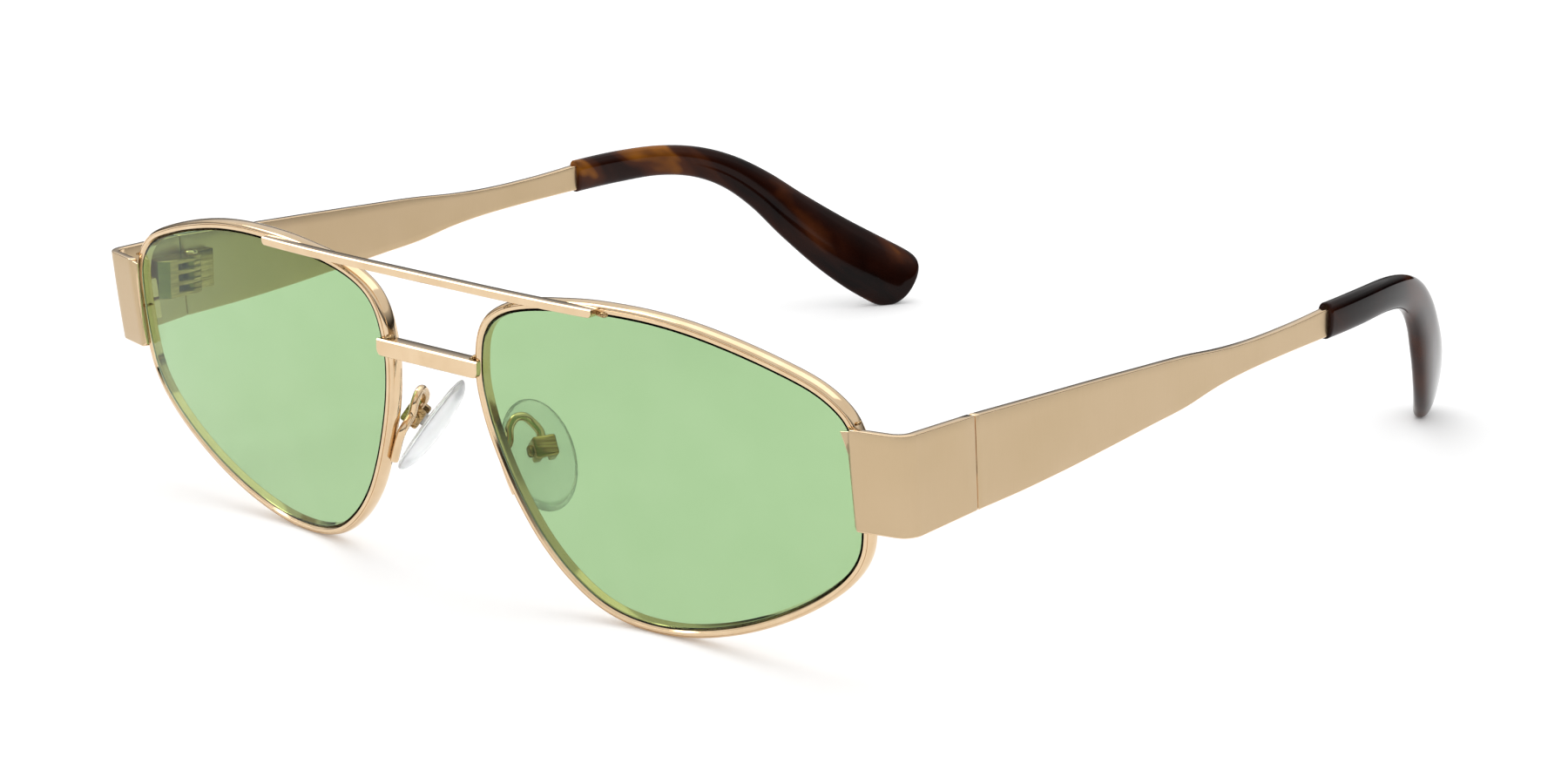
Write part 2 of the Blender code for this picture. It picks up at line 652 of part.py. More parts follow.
def make_hinge(side, tag):
    r = KNUCKLE_R
    reach = r + 0.25
    front = arc(0, 0, r, 0, 180, 12)
    front += [(-r, -4.6), (-r + 1.1, -6.0), (LEAF_OUT, -6.0), (LEAF_OUT, -0.7)]
    rear = [(LEAF_OUT, 0.75), (LEAF_OUT, 3.9), (LEAF_OUT - LEAF_T, 3.9), (LEAF_OUT - LEAF_T, 2.5)]
    rear += arc(0, 0, r, 120, 345, 14)
    leaf("hinge_front_" + tag, front, side, (1, 3, 5), reach, -1.0)
    back_leaf = leaf("hinge_rear_" + tag, rear, side, (0, 2, 4, 6), reach, 1.0)
    head = 7 * KNUCKLE_H - 0.1
    pin = turned("hinge_screw_" + tag, (AXIS_X * side, AXIS_Y, HINGE_LOW + 0.2), (0, 0, 1),
                 [(0.0, PIN_R - 0.12), (0.15, PIN_R), (head, PIN_R), (head, 0.95),
                  (head + 0.3, 0.95), (head + 0.5, 0.7)], GOLD)
    slot = block("hinge_screw_slot_cut_" + tag, (AXIS_X * side, AXIS_Y, HINGE_TOP + 0.65),
                 ((1, 0, 0), (0, 1, 0), (0, 0, 1)), (1.3, 0.14, 0.25), GOLD)
    cut(pin, slot)
    return back_leaf


# ---- closing blocks --------------------------------------------------------------------
def make_closing_blocks(side, tag):
    frame = edge_frames(0.0, CURVE_L, RIM_STEPS)[0]
    p, out, n = frame
    up = n.cross(out).normalized()
    if up.z < 0:
        up = -up
    axes = (out, n, up)
    half_u, half_v = 1.35, 1.35
    centre = p + out * (RIM_BAND + SOLDER + half_u) + n * (half_v + 0.9)
    gap, tall = KERF / 2, 2.6
    low_mid, high_mid = centre - up * (gap + tall / 2), centre + up * (gap + tall / 2)
    flip = Vector((side, 1, 1))

    def place(vec):
        return vec * flip

    def axes_of():
        return tuple(place(a) for a in axes)

    screw_axis = place(up)
    for name, mid in (("closing_block_upper_", high_mid), ("closing_block_lower_", low_mid)):
        obj = block(name + tag, place(mid), axes_of(), (half_u, half_v, tall / 2), GOLD)
        hole = turned(name + "cut_" + tag, place(mid - up * 2.0), screw_axis,
                      [(0.0, 0.55), (4.0, 0.55)], GOLD)
        cut(obj, hole)
    base = centre - up * (gap + tall + 0.12)
    end = 2 * gap + 2 * tall
    screw = turned("closing_screw_" + tag, place(base), screw_axis,
                   [(-0.55, 0.7), (-0.4, 0.85), (0.0, 0.85), (0.0, 0.42), (end - 0.3, 0.42),
                    (end - 0.1, 0.3)], GOLD)
    slot = block("closing_screw_slot_cut_" + tag, place(base - up * 0.62), axes_of(),
                 (1.2, 0.13, 0.22), GOLD)
    cut(screw, slot)


# ---- nose pads -------------------------------------------------------------------------
PAD_Z = BASE_Z + PAD_LEVEL * LENS_H
PAD_CENTRE = Vector((OPEN_IN + PAD_SET_X, surf(OPEN_IN, PAD_Z) + PAD_SET_Y, PAD_Z))


def make_nose_pad(side, tag):
    flip = Vector((side, 1, 1))
    up, face, across = PAD_UP * flip, PAD_FACE * flip, PAD_SIDE * flip
    centre = PAD_CENTRE * flip
    bm = bmesh.new()
    steps = 24
    rings = []
    for scale, depth in ((0.45, 0.52), (0.8, 0.40), (0.97, 0.14), (1.0, -0.05), (0.93, -0.30),
                         (0.7, -0.42), (0.35, -0.46)):
        ring = []
        for i in range(steps):
            a = 2 * math.pi * i / steps
            ring.append(centre + up * (PAD_L / 2 * scale * math.cos(a))
                        + across * (PAD_W / 2 * scale * math.sin(a)) + face * (PAD_T * depth))
        rings.append(ring)
    rows = skin(bm, rings, cap_start=False, cap_end=False)
    for row, depth in ((rows[0], 0.55), (rows[-1], -0.47)):
        tip = bm.verts.new(metres(centre + face * (PAD_T * depth)))
        for a, b in zip(row, row[1:] + row[:1]):
            bm.faces.new((a, b, tip))
    pad = finish("nose_pad_" + tag, bm, CLEAR, 60.0)
    pivot = centre - face * PIVOT_BACK
    lug = block("nose_pad_lug_cut_" + tag, centre - face * (PIVOT_BACK / 2 + 0.6),
                (up, across, face), (0.72, 0.48, PIVOT_BACK / 2), CLEAR)
    cut(pad, lug, "UNION")
    hole = turned("nose_pad_hole_cut_" + tag, pivot - across * 2.5, across,
                  [(0.0, 0.4), (5.0, 0.4)], CLEAR, 12)
    cut(pad, hole)

    axes = (up, across, face)
    box = block("pad_box_" + tag, pivot - face * 0.3, axes, (1.1, 1.25, 1.05), GOLD)
    trough = block("pad_box_trough_cut_" + tag, pivot + face * 1.0, axes, (3.0, 0.62, 1.85), GOLD)
    cut(box, trough)
    bore = turned("pad_box_bore_cut_" + tag, pivot - across * 2.5, across,
                  [(0.0, 0.4), (5.0, 0.4)], GOLD, 12)
    cut(box, bore)
    screw = turned("pad_screw_" + tag, pivot, across,
                   [(-1.3, 0.2), (-1.2, 0.29), (1.37, 0.29), (1.37, 0.62), (1.6, 0.62), (1.75, 0.48)],
                   GOLD, 12)
    slot = block("pad_screw_slot_cut_" + tag, pivot + across * 1.83, axes, (1.0, 0.2, 0.1), GOLD)
    cut(screw, slot)
    return pad, pivot


def nose_frame(z):
    """Edge frame on the nose side of the opening, at a height."""
    frames = edge_frames(0.0, CURVE_L, RIM_STEPS * 3)
    nose = [f for f in frames if f[0].x < OPEN_IN + 0.3 * LENS_W and f[0].z < BASE_Z + 0.7 * LENS_H]
    return min(nose, key=lambda f: abs(f[0].z - z))


# Wire loop between the rim and the pad box, from the pad centre.
ARM_LOOP = [(-0.85, -4.3, 2.4), (-1.1, -3.9, 4.1), (-0.95, -3.05, 5.2), (-0.5, -2.0, 5.25),
            (-0.05, -1.05, 4.4)]


def make_pad_arm(side, tag):
    clear = RIM_BAND + WIRE_R + SOLDER
    pivot = PAD_CENTRE - PAD_FACE * PIVOT_BACK
    top = pivot - PAD_FACE * 0.4 + PAD_UP * (1.1 + SOLDER)
    points = [offset(nose_frame(BASE_Z + 0.31 * LENS_H), clear, 1.3),
              offset(nose_frame(BASE_Z + 0.38 * LENS_H), clear, 1.4),
              offset(nose_frame(BASE_Z + 0.45 * LENS_H), clear + 0.1, 1.9),
              *[PAD_CENTRE + Vector(loop) for loop in ARM_LOOP], top + PAD_UP * 1.1, top]
    line = spline(points, False, 4)
    rings = []
    ref = Vector((0.2, 0.1, 1.0))
    u = None
    for i, p in enumerate(line):
        d = (line[min(i + 1, len(line) - 1)] - line[max(i - 1, 0)]).normalized()
        u = (d.cross(ref) if u is None else u - d * u.dot(d)).normalized()
        v = d.cross(u)
        ring = []
        for j in range(8):
            a = 2 * math.pi * j / 8
            ring.append(p + WIRE_R * (math.cos(a) * u + math.sin(a) * v))
        rings.append(mirrored(ring, side))
    swept("pad_arm_" + tag, rings, GOLD)


# ---- assembly --------------------------------------------------------------------------
make_bridge()
make_brow_bar()
for side, tag in ((1.0, "L"), (-1.0, "R")):
    make_rim(side, tag)
    make_lens(side, tag)
    make_endpiece(side, tag)
    make_closing_blocks(side, tag)
    axis = (AXIS_X * side, AXIS_Y, PLATE_MID)
    for piece in (make_hinge(side, tag), make_temple(side, tag), make_tip(side, tag)):
        set_origin(piece, axis)
    pad, pivot = make_nose_pad(side, tag)
    set_origin(pad, pivot)
    make_pad_arm(side, tag)
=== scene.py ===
import math

import bmesh
import bpy
from mathutils import Matrix, Vector


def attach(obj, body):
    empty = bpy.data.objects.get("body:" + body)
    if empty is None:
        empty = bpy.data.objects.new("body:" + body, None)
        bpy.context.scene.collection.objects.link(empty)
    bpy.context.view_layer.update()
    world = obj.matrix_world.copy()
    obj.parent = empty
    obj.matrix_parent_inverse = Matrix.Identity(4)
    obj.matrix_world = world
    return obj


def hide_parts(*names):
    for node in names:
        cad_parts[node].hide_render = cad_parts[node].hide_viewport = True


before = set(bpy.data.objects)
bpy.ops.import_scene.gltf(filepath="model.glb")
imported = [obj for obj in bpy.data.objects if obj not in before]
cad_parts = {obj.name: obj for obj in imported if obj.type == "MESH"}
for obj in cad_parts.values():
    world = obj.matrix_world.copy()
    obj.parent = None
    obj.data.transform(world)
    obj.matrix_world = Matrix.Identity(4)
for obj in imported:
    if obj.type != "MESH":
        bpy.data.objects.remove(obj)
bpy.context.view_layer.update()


# ---- Rims ------------------------------------------------------------------------------
# Each rim is one length of rolled wire, plated in pale gold and polished: a flat front band,
# a fine step line and a rounded outer wall, with a groove inside for the lens. It is bent
# round the lens and both its ends meet at a saw cut behind the endpiece.
SIDES = ((1, "L"), (-1, "R"))
ORIGIN_BACK = 71.43    # the frame's origin lies this far behind the lens plane, mm
LENS_W = 53.2          # width of one rim opening, mm
LENS_H = 38.9          # height of one rim opening
NOSE_GAP = 17.2        # smallest distance between the two openings
WRAP = 0.184           # each lens falls back towards the temple
TILT = 0.163           # the front leans back towards the cheeks
BOW = 0.0044           # curvature of the lens, 1/mm
RIM_BAND = 1.4         # rim width
RIM_DEEP = 2.15        # rim depth
SAW_CUT = 0.4          # gap between the rim's two ends
RIM_STEPS = 320        # sections along one rim
LENS_BACK = 0.15       # lens front behind the rim front
LENS_T = 1.1           # lens thickness
GROOVE_DEEP = 0.35     # depth of the lens groove, and half its width
GROOVE_HALF = 0.2
GROOVE_AT = LENS_BACK + LENS_T / 2
OPEN_IN = NOSE_GAP / 2
OPEN_OUT = OPEN_IN + LENS_W
BASE_Z = RIM_BAND * math.cos(TILT) - 0.18    # lowest point of the opening, above the floor
MID_X = OPEN_IN + 0.799 * LENS_W             # where the lens has no wrap or tilt of its own
MID_Z = BASE_Z + 0.45 * LENS_H
# Teardrop opening: share of the width from the nose, share of the height from the bottom.
TEARDROP = [
    (1.000, 0.610), (0.997, 0.689), (0.990, 0.743), (0.964, 0.807), (0.906, 0.866), (0.816, 0.913),
    (0.703, 0.956), (0.590, 0.986), (0.477, 1.000), (0.346, 0.999), (0.242, 0.985), (0.158, 0.967),
    (0.094, 0.941), (0.045, 0.902), (0.017, 0.848), (0.004, 0.776), (0.000, 0.686), (0.015, 0.566),
    (0.045, 0.440), (0.086, 0.314), (0.135, 0.203), (0.201, 0.105), (0.280, 0.033), (0.374, 0.001),
    (0.487, 0.004), (0.609, 0.041), (0.731, 0.105), (0.844, 0.190), (0.934, 0.285), (0.983, 0.378),
    (0.998, 0.486)]


def place(point, side=1):
    """Millimetres from the lens plane to metres about the frame's origin; side -1 mirrors."""
    return Vector((point[0] * side, point[1] - ORIGIN_BACK, point[2])) * 0.001


def spline(points, closed, steps):
    """Smooth curve through the points, with that many steps from each to the next."""
    pts = [Vector(p) for p in points]
    n = len(pts)
    out = []
    for i in range(n if closed else n - 1):
        if closed:
            a, b, c, d = pts[i - 1], pts[i], pts[(i + 1) % n], pts[(i + 2) % n]
        else:
            a, b, c, d = pts[max(i - 1, 0)], pts[i], pts[i + 1], pts[min(i + 2, n - 1)]
        for j in range(steps):
            t = j / steps
            out.append(0.5 * (2 * b + (c - a) * t + (2 * a - 5 * b + 4 * c - d) * t * t
                              + (3 * b - a - 3 * c + d) * t ** 3))
    if not closed:
        out.append(pts[-1])
    return out


def round_corners(outline, steps=4):
    """Closed outline of (a, b, radius) corners, each turned into a small arc."""
    out = []
    for i, (x, y, radius) in enumerate(outline):
        here = Vector((x, y))
        before = Vector(outline[i - 1][:2]) - here
        after = Vector(outline[(i + 1) % len(outline)][:2]) - here
        if radius == 0:
            out.append(here)
            continue
        a, b = before.normalized(), after.normalized()
        half = a.angle(b) / 2
        reach = min(radius / math.tan(half), 0.48 * before.length, 0.48 * after.length)
        radius = reach * math.tan(half)
        centre = here + (a + b).normalized() * (radius / math.sin(half))
        first, last = here + a * reach - centre, here + b * reach - centre
        turn = math.atan2(first.x * last.y - first.y * last.x, first.dot(last))
        for k in range(steps + 1):
            angle = turn * k / steps
            c, s = math.cos(angle), math.sin(angle)
            out.append(centre + Vector((first.x * c - first.y * s, first.x * s + first.y * c)))
    return out


def stand(name, data):
    """Object made from its data and put in the scene."""
    made = bpy.data.objects.new(name, data)
    bpy.context.scene.collection.objects.link(made)
    return made


def shaped(name, bm, finish, sharp=35.0):
    """Mesh object with smooth faces and crisp edges where it turns by more than sharp degrees."""
    bmesh.ops.recalc_face_normals(bm, faces=bm.faces)
    mesh = bpy.data.meshes.new(name)
    bm.to_mesh(mesh)
    bm.free()
    mesh.materials.append(finish)
    mesh.shade_smooth()
    mesh.set_sharp_from_angle(angle=math.radians(sharp))
    return stand(name, mesh)


def skin(bm, rings, side=1):
    """Faces between successive sections, with the two ends closed."""
    rows = [[bm.verts.new(place(p, side)) for p in ring] for ring in rings]
    for a, b in zip(rows, rows[1:]):
        for j in range(len(a)):
            k = (j + 1) % len(a)
            bm.faces.new((a[j], a[k], b[k], b[j]))
    bm.faces.new(rows[0][::-1])
    bm.faces.new(rows[-1])


def loft(name, rings, finish, side=1, sharp=35.0):
    """Closed piece that runs through the sections."""
    bm = bmesh.new()
    skin(bm, rings, side)
    return shaped(name, bm, finish, sharp)


def surf(x, z):
    """How far back the rim front lies at a place on the left lens."""
    dx, dz = x - MID_X, z - MID_Z
    return WRAP * dx - TILT * dz + 0.5 * BOW * (dx * dx + dz * dz)


def surf_normal(x, z):
    """Backward normal of the lens there."""
    return Vector((-WRAP - BOW * (x - MID_X), 1.0, TILT - BOW * (z - MID_Z))).normalized()


def rim_line(trim, count):
    """(place, outward direction, backward direction) once round the opening, from its first
    point, with a length trimmed off at both ends."""
    pts = [Vector((p.x, surf(p.x, p.z), p.z)) for p in TEARDROP_LINE]
    pts.append(pts[0].copy())
    run = [0.0]
    for a, b in zip(pts, pts[1:]):
        run.append(run[-1] + (b - a).length)
    middle = Vector((MID_X - 0.3 * LENS_W, 0.0, MID_Z))
    out = []
    i = 0
    for k in range(count + 1):
        s = trim + (run[-1] - 2 * trim) * k / count
        while i < len(run) - 2 and run[i + 1] < s:
            i += 1
        here = pts[i].lerp(pts[i + 1], (s - run[i]) / max(run[i + 1] - run[i], 1e-9))
        along = (pts[(i + 2) % (len(pts) - 1)] - pts[i - 1 if i else -2]).normalized()
        back = surf_normal(here.x, here.z)
        outward = along.cross(back).normalized()
        if outward.dot(here - middle) < 0:
            outward = -outward
        out.append((here, outward, back))
    return out


def beside(frame_at, out, back):
    """Point that lies out and back from a place on the opening."""
    here, outward, backward = frame_at
    return here + outward * out + backward * back


def linear(code):
    """sRGB hex to the linear colour that shaders take."""
    parts = [int(code[i:i + 2], 16) / 255 for i in (1, 3, 5)]
    return (*[c / 12.92 if c <= 0.04045 else ((c + 0.055) / 1.055) ** 2.4 for c in parts], 1.0)


def add(mat, kind, settings=None, links=None):
    """Adds a shader node with its settings and with what feeds it: an output, or a node whose
    first output is meant."""
    made = mat.node_tree.nodes.new("ShaderNode" + kind)
    for key, value in (settings or {}).items():
        if isinstance(key, int) or key in made.inputs:
            made.inputs[key].default_value = value
        elif key == "stops":
            for stop, (at, code) in zip(made.color_ramp.elements, value):
                stop.position, stop.color = at, linear(code)
            for at, code in value[2:]:
                made.color_ramp.elements.new(at).color = linear(code)
        else:
            setattr(made, key, value)
    for key, source in (links or {}).items():
        source = getattr(source, "outputs", [source])[0]
        mat.node_tree.links.new(source, made.inputs[key])
    return made


def new_finish(name):
    """Empty material, and the object coordinates that its patterns follow."""
    mat = bpy.data.materials.new(name)
    mat.use_nodes = True
    mat.node_tree.nodes.clear()
    return mat, add(mat, "TexCoord").outputs["Object"]


def polished_gold_plating():
    """Pale gold plating on polished wire: mirror-like, with faint wipe marks about 3 mm long
    that soften some reflections and a polishing grain of about 0.06 mm."""
    mat, at = new_finish("polished_pale_gold_plating")
    wipes = add(mat, "TexNoise", {"Scale": 330.0, "Detail": 3.0}, {"Vector": at})
    grain = add(mat, "TexNoise", {"Scale": 16000.0, "Detail": 1.0}, {"Vector": at})
    tone = add(mat, "ValToRGB", {"stops": [(0.3, "#DCC09B"), (0.7, "#E4CAA7")]}, {"Fac": wipes})
    gloss = add(mat, "MapRange", {"From Min": 0.3, "From Max": 0.7, "To Min": 0.06, "To Max": 0.12},
                {"Value": wipes})
    relief = add(mat, "Bump", {"Strength": 0.05, "Distance": 0.00002}, {"Height": grain})
    metal = add(mat, "BsdfPrincipled", {"Metallic": 1.0},
                {"Base Color": tone, "Roughness": gloss, "Normal": relief})
    add(mat, "OutputMaterial", links={"Surface": metal})
    return mat


def fit(piece, body, slot, *cad_nodes):
    """Puts a piece on its body and hides the CAD nodes that it stands for; the slot is not used."""
    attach(piece, body)
    if cad_nodes:
        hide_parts(*cad_nodes)


def fit_gold(piece, *cad_nodes):
    """Fits a gold piece that moves with the front."""
    fit(piece, "front", "polished_pale_gold", *cad_nodes)


TEARDROP_LINE = spline([(OPEN_IN + a * LENS_W, 0.0, BASE_Z + b * LENS_H) for a, b in TEARDROP],
                       True, 16)
POLISHED = polished_gold_plating()

# Section of the wire: (out, back) from the opening. First the front band and its step line, then
# the rounded outer wall, then the back, the inner wall and the groove.
rim_section = round_corners([(0.0, 0.0, 0.1), (0.8, 0.0, 0.06), (0.83, 0.13, 0.02),
                             (0.93, 0.13, 0.02), (0.96, 0.06, 0.03)])[:-1]
rim_section += spline([(0.98, 0.07), (1.16, 0.2), (1.29, 0.42), (1.37, 0.74), (RIM_BAND, 1.12),
                       (1.37, 1.5), (1.27, 1.84)], False, 3)
rim_section += round_corners([(1.27, 1.84, 0), (1.06, RIM_DEEP, 0.22), (0.0, RIM_DEEP, 0.12),
                              (0.0, 1.7, 0)])[1:-1]
rim_section += [Vector((0.0, GROOVE_AT + GROOVE_HALF)), Vector((GROOVE_DEEP, GROOVE_AT)),
                Vector((0.0, GROOVE_AT - GROOVE_HALF))]
split_rim = rim_line(SAW_CUT / 2, RIM_STEPS)
for side, tag in SIDES:
    rim = loft("rim_wire_" + tag, [[beside(f, p.x, p.y) for p in rim_section] for f in split_rim],
               POLISHED, side)
    fit_gold(rim, "rim_" + tag)


# ---- Lenses ----------------------------------------------------------------------------
# Each lens is a shallow shell of tinted plastic, 1.1 mm thick, with a V edge ground all round
# that sits in the rim's groove. The tint is mixed through it, so it dims what is behind.
def green_lens_plastic():
    """Light green CR-39 lens plastic with a polished face: clear, with a faint mottling of the
    dye about 8 mm across."""
    mat, at = new_finish("light_green_lens_plastic")
    dye = add(mat, "TexNoise", {"Scale": 120.0, "Detail": 1.0}, {"Vector": at})
    tint = add(mat, "ValToRGB", {"stops": [(0.3, "#A3C493"), (0.7, "#A6C696")]}, {"Fac": dye})
    glass = add(mat, "BsdfPrincipled", {"Roughness": 0.0, "IOR": 1.42, "Transmission Weight": 1.0,
                                        "Specular Tint": linear("#3A4A40")},
                {"Base Color": tint})
    add(mat, "OutputMaterial", links={"Surface": glass})
    return mat


PRESS = 0.04           # the rim's pull sinks the lens edge this far into the metal, mm
LENS_EASE = 0.02       # its front and back corners are eased by about this much
LENS_SHARES = (0.1, 0.25, 0.4, 0.55, 0.7, 0.82, 0.91, 0.97)
LENS_REAR = LENS_BACK + LENS_T
LENS_GREEN = green_lens_plastic()
lens_heart = Vector((OPEN_IN + 0.52 * LENS_W, 0.0, BASE_Z + 0.55 * LENS_H))
lens_line = rim_line(0.0, 240)[:-1]


def lens_ring(share, back):
    """Ring of points on the lens at a share of the way from its middle to its edge."""
    ring = []
    for f in lens_line:
        edge = beside(f, PRESS - LENS_EASE, 0.0)
        x = lens_heart.x + (edge.x - lens_heart.x) * share
        z = lens_heart.z + (edge.z - lens_heart.z) * share
        ring.append(Vector((x, surf(x, z), z)) + surf_normal(x, z) * back)
    return ring


for side, tag in SIDES:
    rings = [lens_ring(share, LENS_BACK) for share in LENS_SHARES]
    rings += [[beside(f, out, back) for f in lens_line] for out, back in
              ((PRESS - LENS_EASE, LENS_BACK), (PRESS, LENS_BACK + 0.03),
               (PRESS, GROOVE_AT - GROOVE_HALF), (GROOVE_DEEP + PRESS, GROOVE_AT),
               (PRESS, GROOVE_AT + GROOVE_HALF), (PRESS, LENS_REAR - 0.03),
               (PRESS - LENS_EASE, LENS_REAR))]
    rings += [lens_ring(share, LENS_REAR) for share in reversed(LENS_SHARES)]
    lens = loft("lens_shell_" + tag, rings, LENS_GREEN, side)
    # So light a tint throws next to no shadow.
    lens.visible_shadow = lens.visible_diffuse = False
    fit(lens, "front", "green_lens", "lens_" + tag)


# ---- Bridge ----------------------------------------------------------------------------
# The bridge is a milled flat bar, polished and plated like the rims, with a bevel along its
# top front edge. It is stepped at both ends to lie in front of the rims, and soldered there.
BRIDGE_H = 2.15
BRIDGE_PROUD = 0.75    # thickness of the ends in front of the rims
BRIDGE_DEEP = 2.1
BRIDGE_LEVEL = 0.743   # share of the opening height
BRIDGE_BEVEL = 0.2
STRAP_DIP = 0.05       # solder film between a bar and the rims


def opening_x(z, pick=min):
    """Edge of the opening at a height: the nose side's, or with max the temple side's."""
    return pick(a.x + (b.x - a.x) * (z - a.z) / (b.z - a.z)
                for a, b in zip(TEARDROP_LINE, TEARDROP_LINE[1:] + TEARDROP_LINE[:1])
                if (a.z - z) * (b.z - z) <= 0 and a.z != b.z)


def bar_ring(x, front, back, low, high, bevel):
    """Section of a bar, bevelled along its top front edge."""
    corners = [(front, low, 0.16), (back, low, 0.1), (back, high, 0.1), (front + bevel, high, 0.05),
               (front, high - bevel, 0.05)]
    return [(x, p.x, p.y) for p in round_corners(corners, 3)]


def bar(name, half, bevel):
    """Bar mirrored about the middle from its stations (x, front, back, low, high)."""
    stations = [(-x, *rest) for x, *rest in reversed(half[1:])] + half
    return loft(name, [bar_ring(*s, bevel) for s in stations], POLISHED, 1, 30.0)


def end_rounding(end, radius, steps=6):
    """(x, lift of the lower corner) that rounds the lower corner of a bar's end."""
    out = []
    for i in range(steps + 1):
        a = math.radians(82 * i / steps)
        out.append((end - radius + radius * math.sin(a), radius * (1 - math.cos(a))))
    return out


bridge_mid = BASE_Z + BRIDGE_LEVEL * LENS_H
bridge_low, bridge_high = bridge_mid - BRIDGE_H / 2, bridge_mid + BRIDGE_H / 2
bridge_end = opening_x(bridge_mid)
rim_wall = min(opening_x(bridge_low), opening_x(bridge_high)) - RIM_BAND
strap_back = min(surf(x, z) for x in (rim_wall, bridge_end) for z in (bridge_low, bridge_high))
bridge_front = strap_back - BRIDGE_PROUD
half = [(x, bridge_front, bridge_front + BRIDGE_DEEP, bridge_low, bridge_high)
        for x in (0.0, 2.0, 4.0, 5.5, rim_wall - 0.1)]
half.append((rim_wall, bridge_front, strap_back + STRAP_DIP, bridge_low, bridge_high))
for x, lift in end_rounding(bridge_end, 0.75):
    half.append((x, bridge_front, strap_back + STRAP_DIP, bridge_low + lift, bridge_high))
x, front, back, low, high = half[-1]
half.append((x + 0.05, front + 0.06, back, low + 0.05, high - 0.06))
fit_gold(bar("bridge_bar", half, BRIDGE_BEVEL), "bridge")


# ---- Brow bar --------------------------------------------------------------------------
# The brow bar is a thin square wire, bevelled along its top front edge, bent to follow the
# rims' front and soldered to them near its ends.
BROW_HALF = 28.3       # half its length
BROW_H = 1.05
BROW_DEEP = 1.5
BROW_LEVEL = 1.012     # share of the opening height
BROW_BEVEL = 0.15

brow_low = BASE_Z + BROW_LEVEL * LENS_H - BROW_H / 2
brow_high = brow_low + BROW_H
half = []
for x, lift in [(BROW_HALF * i / 28, 0.0) for i in range(27)] + end_rounding(BROW_HALF, 0.5):
    touch = max(x, OPEN_IN + 0.05 * LENS_W)
    back = min(surf(touch, z) for z in (brow_low, brow_high)) + 0.03
    half.append((x, back - BROW_DEEP, back, brow_low + lift, brow_high))
x, front, back, low, high = half[-1]
half.append((x + 0.05, front + 0.06, back, low + 0.04, high - 0.05))
fit_gold(bar("brow_wire", half, BROW_BEVEL), "brow_bar")


# ---- Endpieces -------------------------------------------------------------------------
# Each endpiece is a stamped plate 1.1 mm thick, bent round a tight corner. Its flange lies on
# the rim's front and its side runs back to the hinge seam. The face is satin, and its edges
# are broken and polished bright.
PLATE_T = 1.1
PLATE_H = 12.4
PLATE_RISE = 0.9       # the lower edge climbs by this much from the corner to the seam
CORNER_OUT = 6.9       # corner, outwards from the opening
CORNER_R = 2.8
SEAM_BACK = 12.4       # seam behind the corner
SEAM_GAP = 0.13
SEAM_LEAN = 0.084      # the seam slants back towards its foot
PLATE_TOP = BASE_Z + 0.785 * LENS_H
PLATE_LOW = PLATE_TOP - PLATE_H
PLATE_MID = (PLATE_TOP + PLATE_LOW) / 2
FLANGE_SLOPE = WRAP + BOW * (OPEN_OUT + 2.0 - MID_X)
CORNER_X = OPEN_OUT + CORNER_OUT
CORNER_Y = surf(OPEN_OUT, PLATE_MID) - 0.22 - PLATE_T + FLANGE_SLOPE * CORNER_OUT
SEAM_X = CORNER_X + 0.3
SEAM_Y = CORNER_Y + SEAM_BACK
EDGE_R = 0.16          # broken edge of every plate
END_EASE = 0.09        # broken edge of the plates' ends at the seam
NARROW = 0.13          # faces narrower than this are edges, and get polished
FLANGE_EASE = (0.42, 0.26, 0.12, 0.04)    # rounding of the flange's edge


def satin_gold_plating():
    """The same pale gold over a brushed face: upright brush lines about 0.09 mm apart and a few
    millimetres long, which spread reflections sideways and dull them."""
    mat, at = new_finish("satin_pale_gold_plating")
    upright = add(mat, "Mapping", {"Scale": (11000.0, 11000.0, 320.0)}, {"Vector": at})
    lines = add(mat, "TexNoise", {"Scale": 1.0, "Detail": 2.0}, {"Vector": upright})
    cloud = add(mat, "TexNoise", {"Scale": 60.0, "Detail": 2.0}, {"Vector": at})
    tone = add(mat, "ValToRGB", {"stops": [(0.3, "#C2AA87"), (0.7, "#C8B08F")]}, {"Fac": cloud})
    gloss = add(mat, "MapRange", {"From Min": 0.3, "From Max": 0.7, "To Min": 0.30, "To Max": 0.38},
                {"Value": lines})
    relief = add(mat, "Bump", {"Strength": 0.12, "Distance": 0.00001}, {"Height": lines})
    metal = add(mat, "BsdfPrincipled", {"Metallic": 1.0},
                {"Base Color": tone, "Roughness": gloss, "Normal": relief})
    add(mat, "OutputMaterial", links={"Surface": metal})
    return mat


SATIN = satin_gold_plating()


def polish_edges(piece):
    """Polishes a plate's upper and lower edges, and every narrow face."""
    piece.data.materials.append(POLISHED)
    for face in piece.data.polygons:
        sides = [(piece.data.vertices[a].co - piece.data.vertices[b].co).length
                 for a, b in face.edge_keys]
        if abs(face.normal.z) > 0.35 or min(sides) < NARROW * 0.001:
            face.material_index = 1


def seam_y(z):
    """How far back the seam lies at a height."""
    return SEAM_Y - SEAM_LEAN * (z - PLATE_MID)


def plate_section(top, low, ease, heights):
    """Upright section of a plate: (height, depth) points, with rows at the heights between."""
    corners = round_corners([(top, ease, EDGE_R), (top, PLATE_T - ease, EDGE_R),
                             (low, PLATE_T - ease, EDGE_R), (low, ease, EDGE_R)], 3)
    inner = [Vector((z, PLATE_T - ease)) for z in heights]
    outer = [Vector((z, ease)) for z in reversed(heights)]
    return corners[:8] + inner + corners[8:] + outer


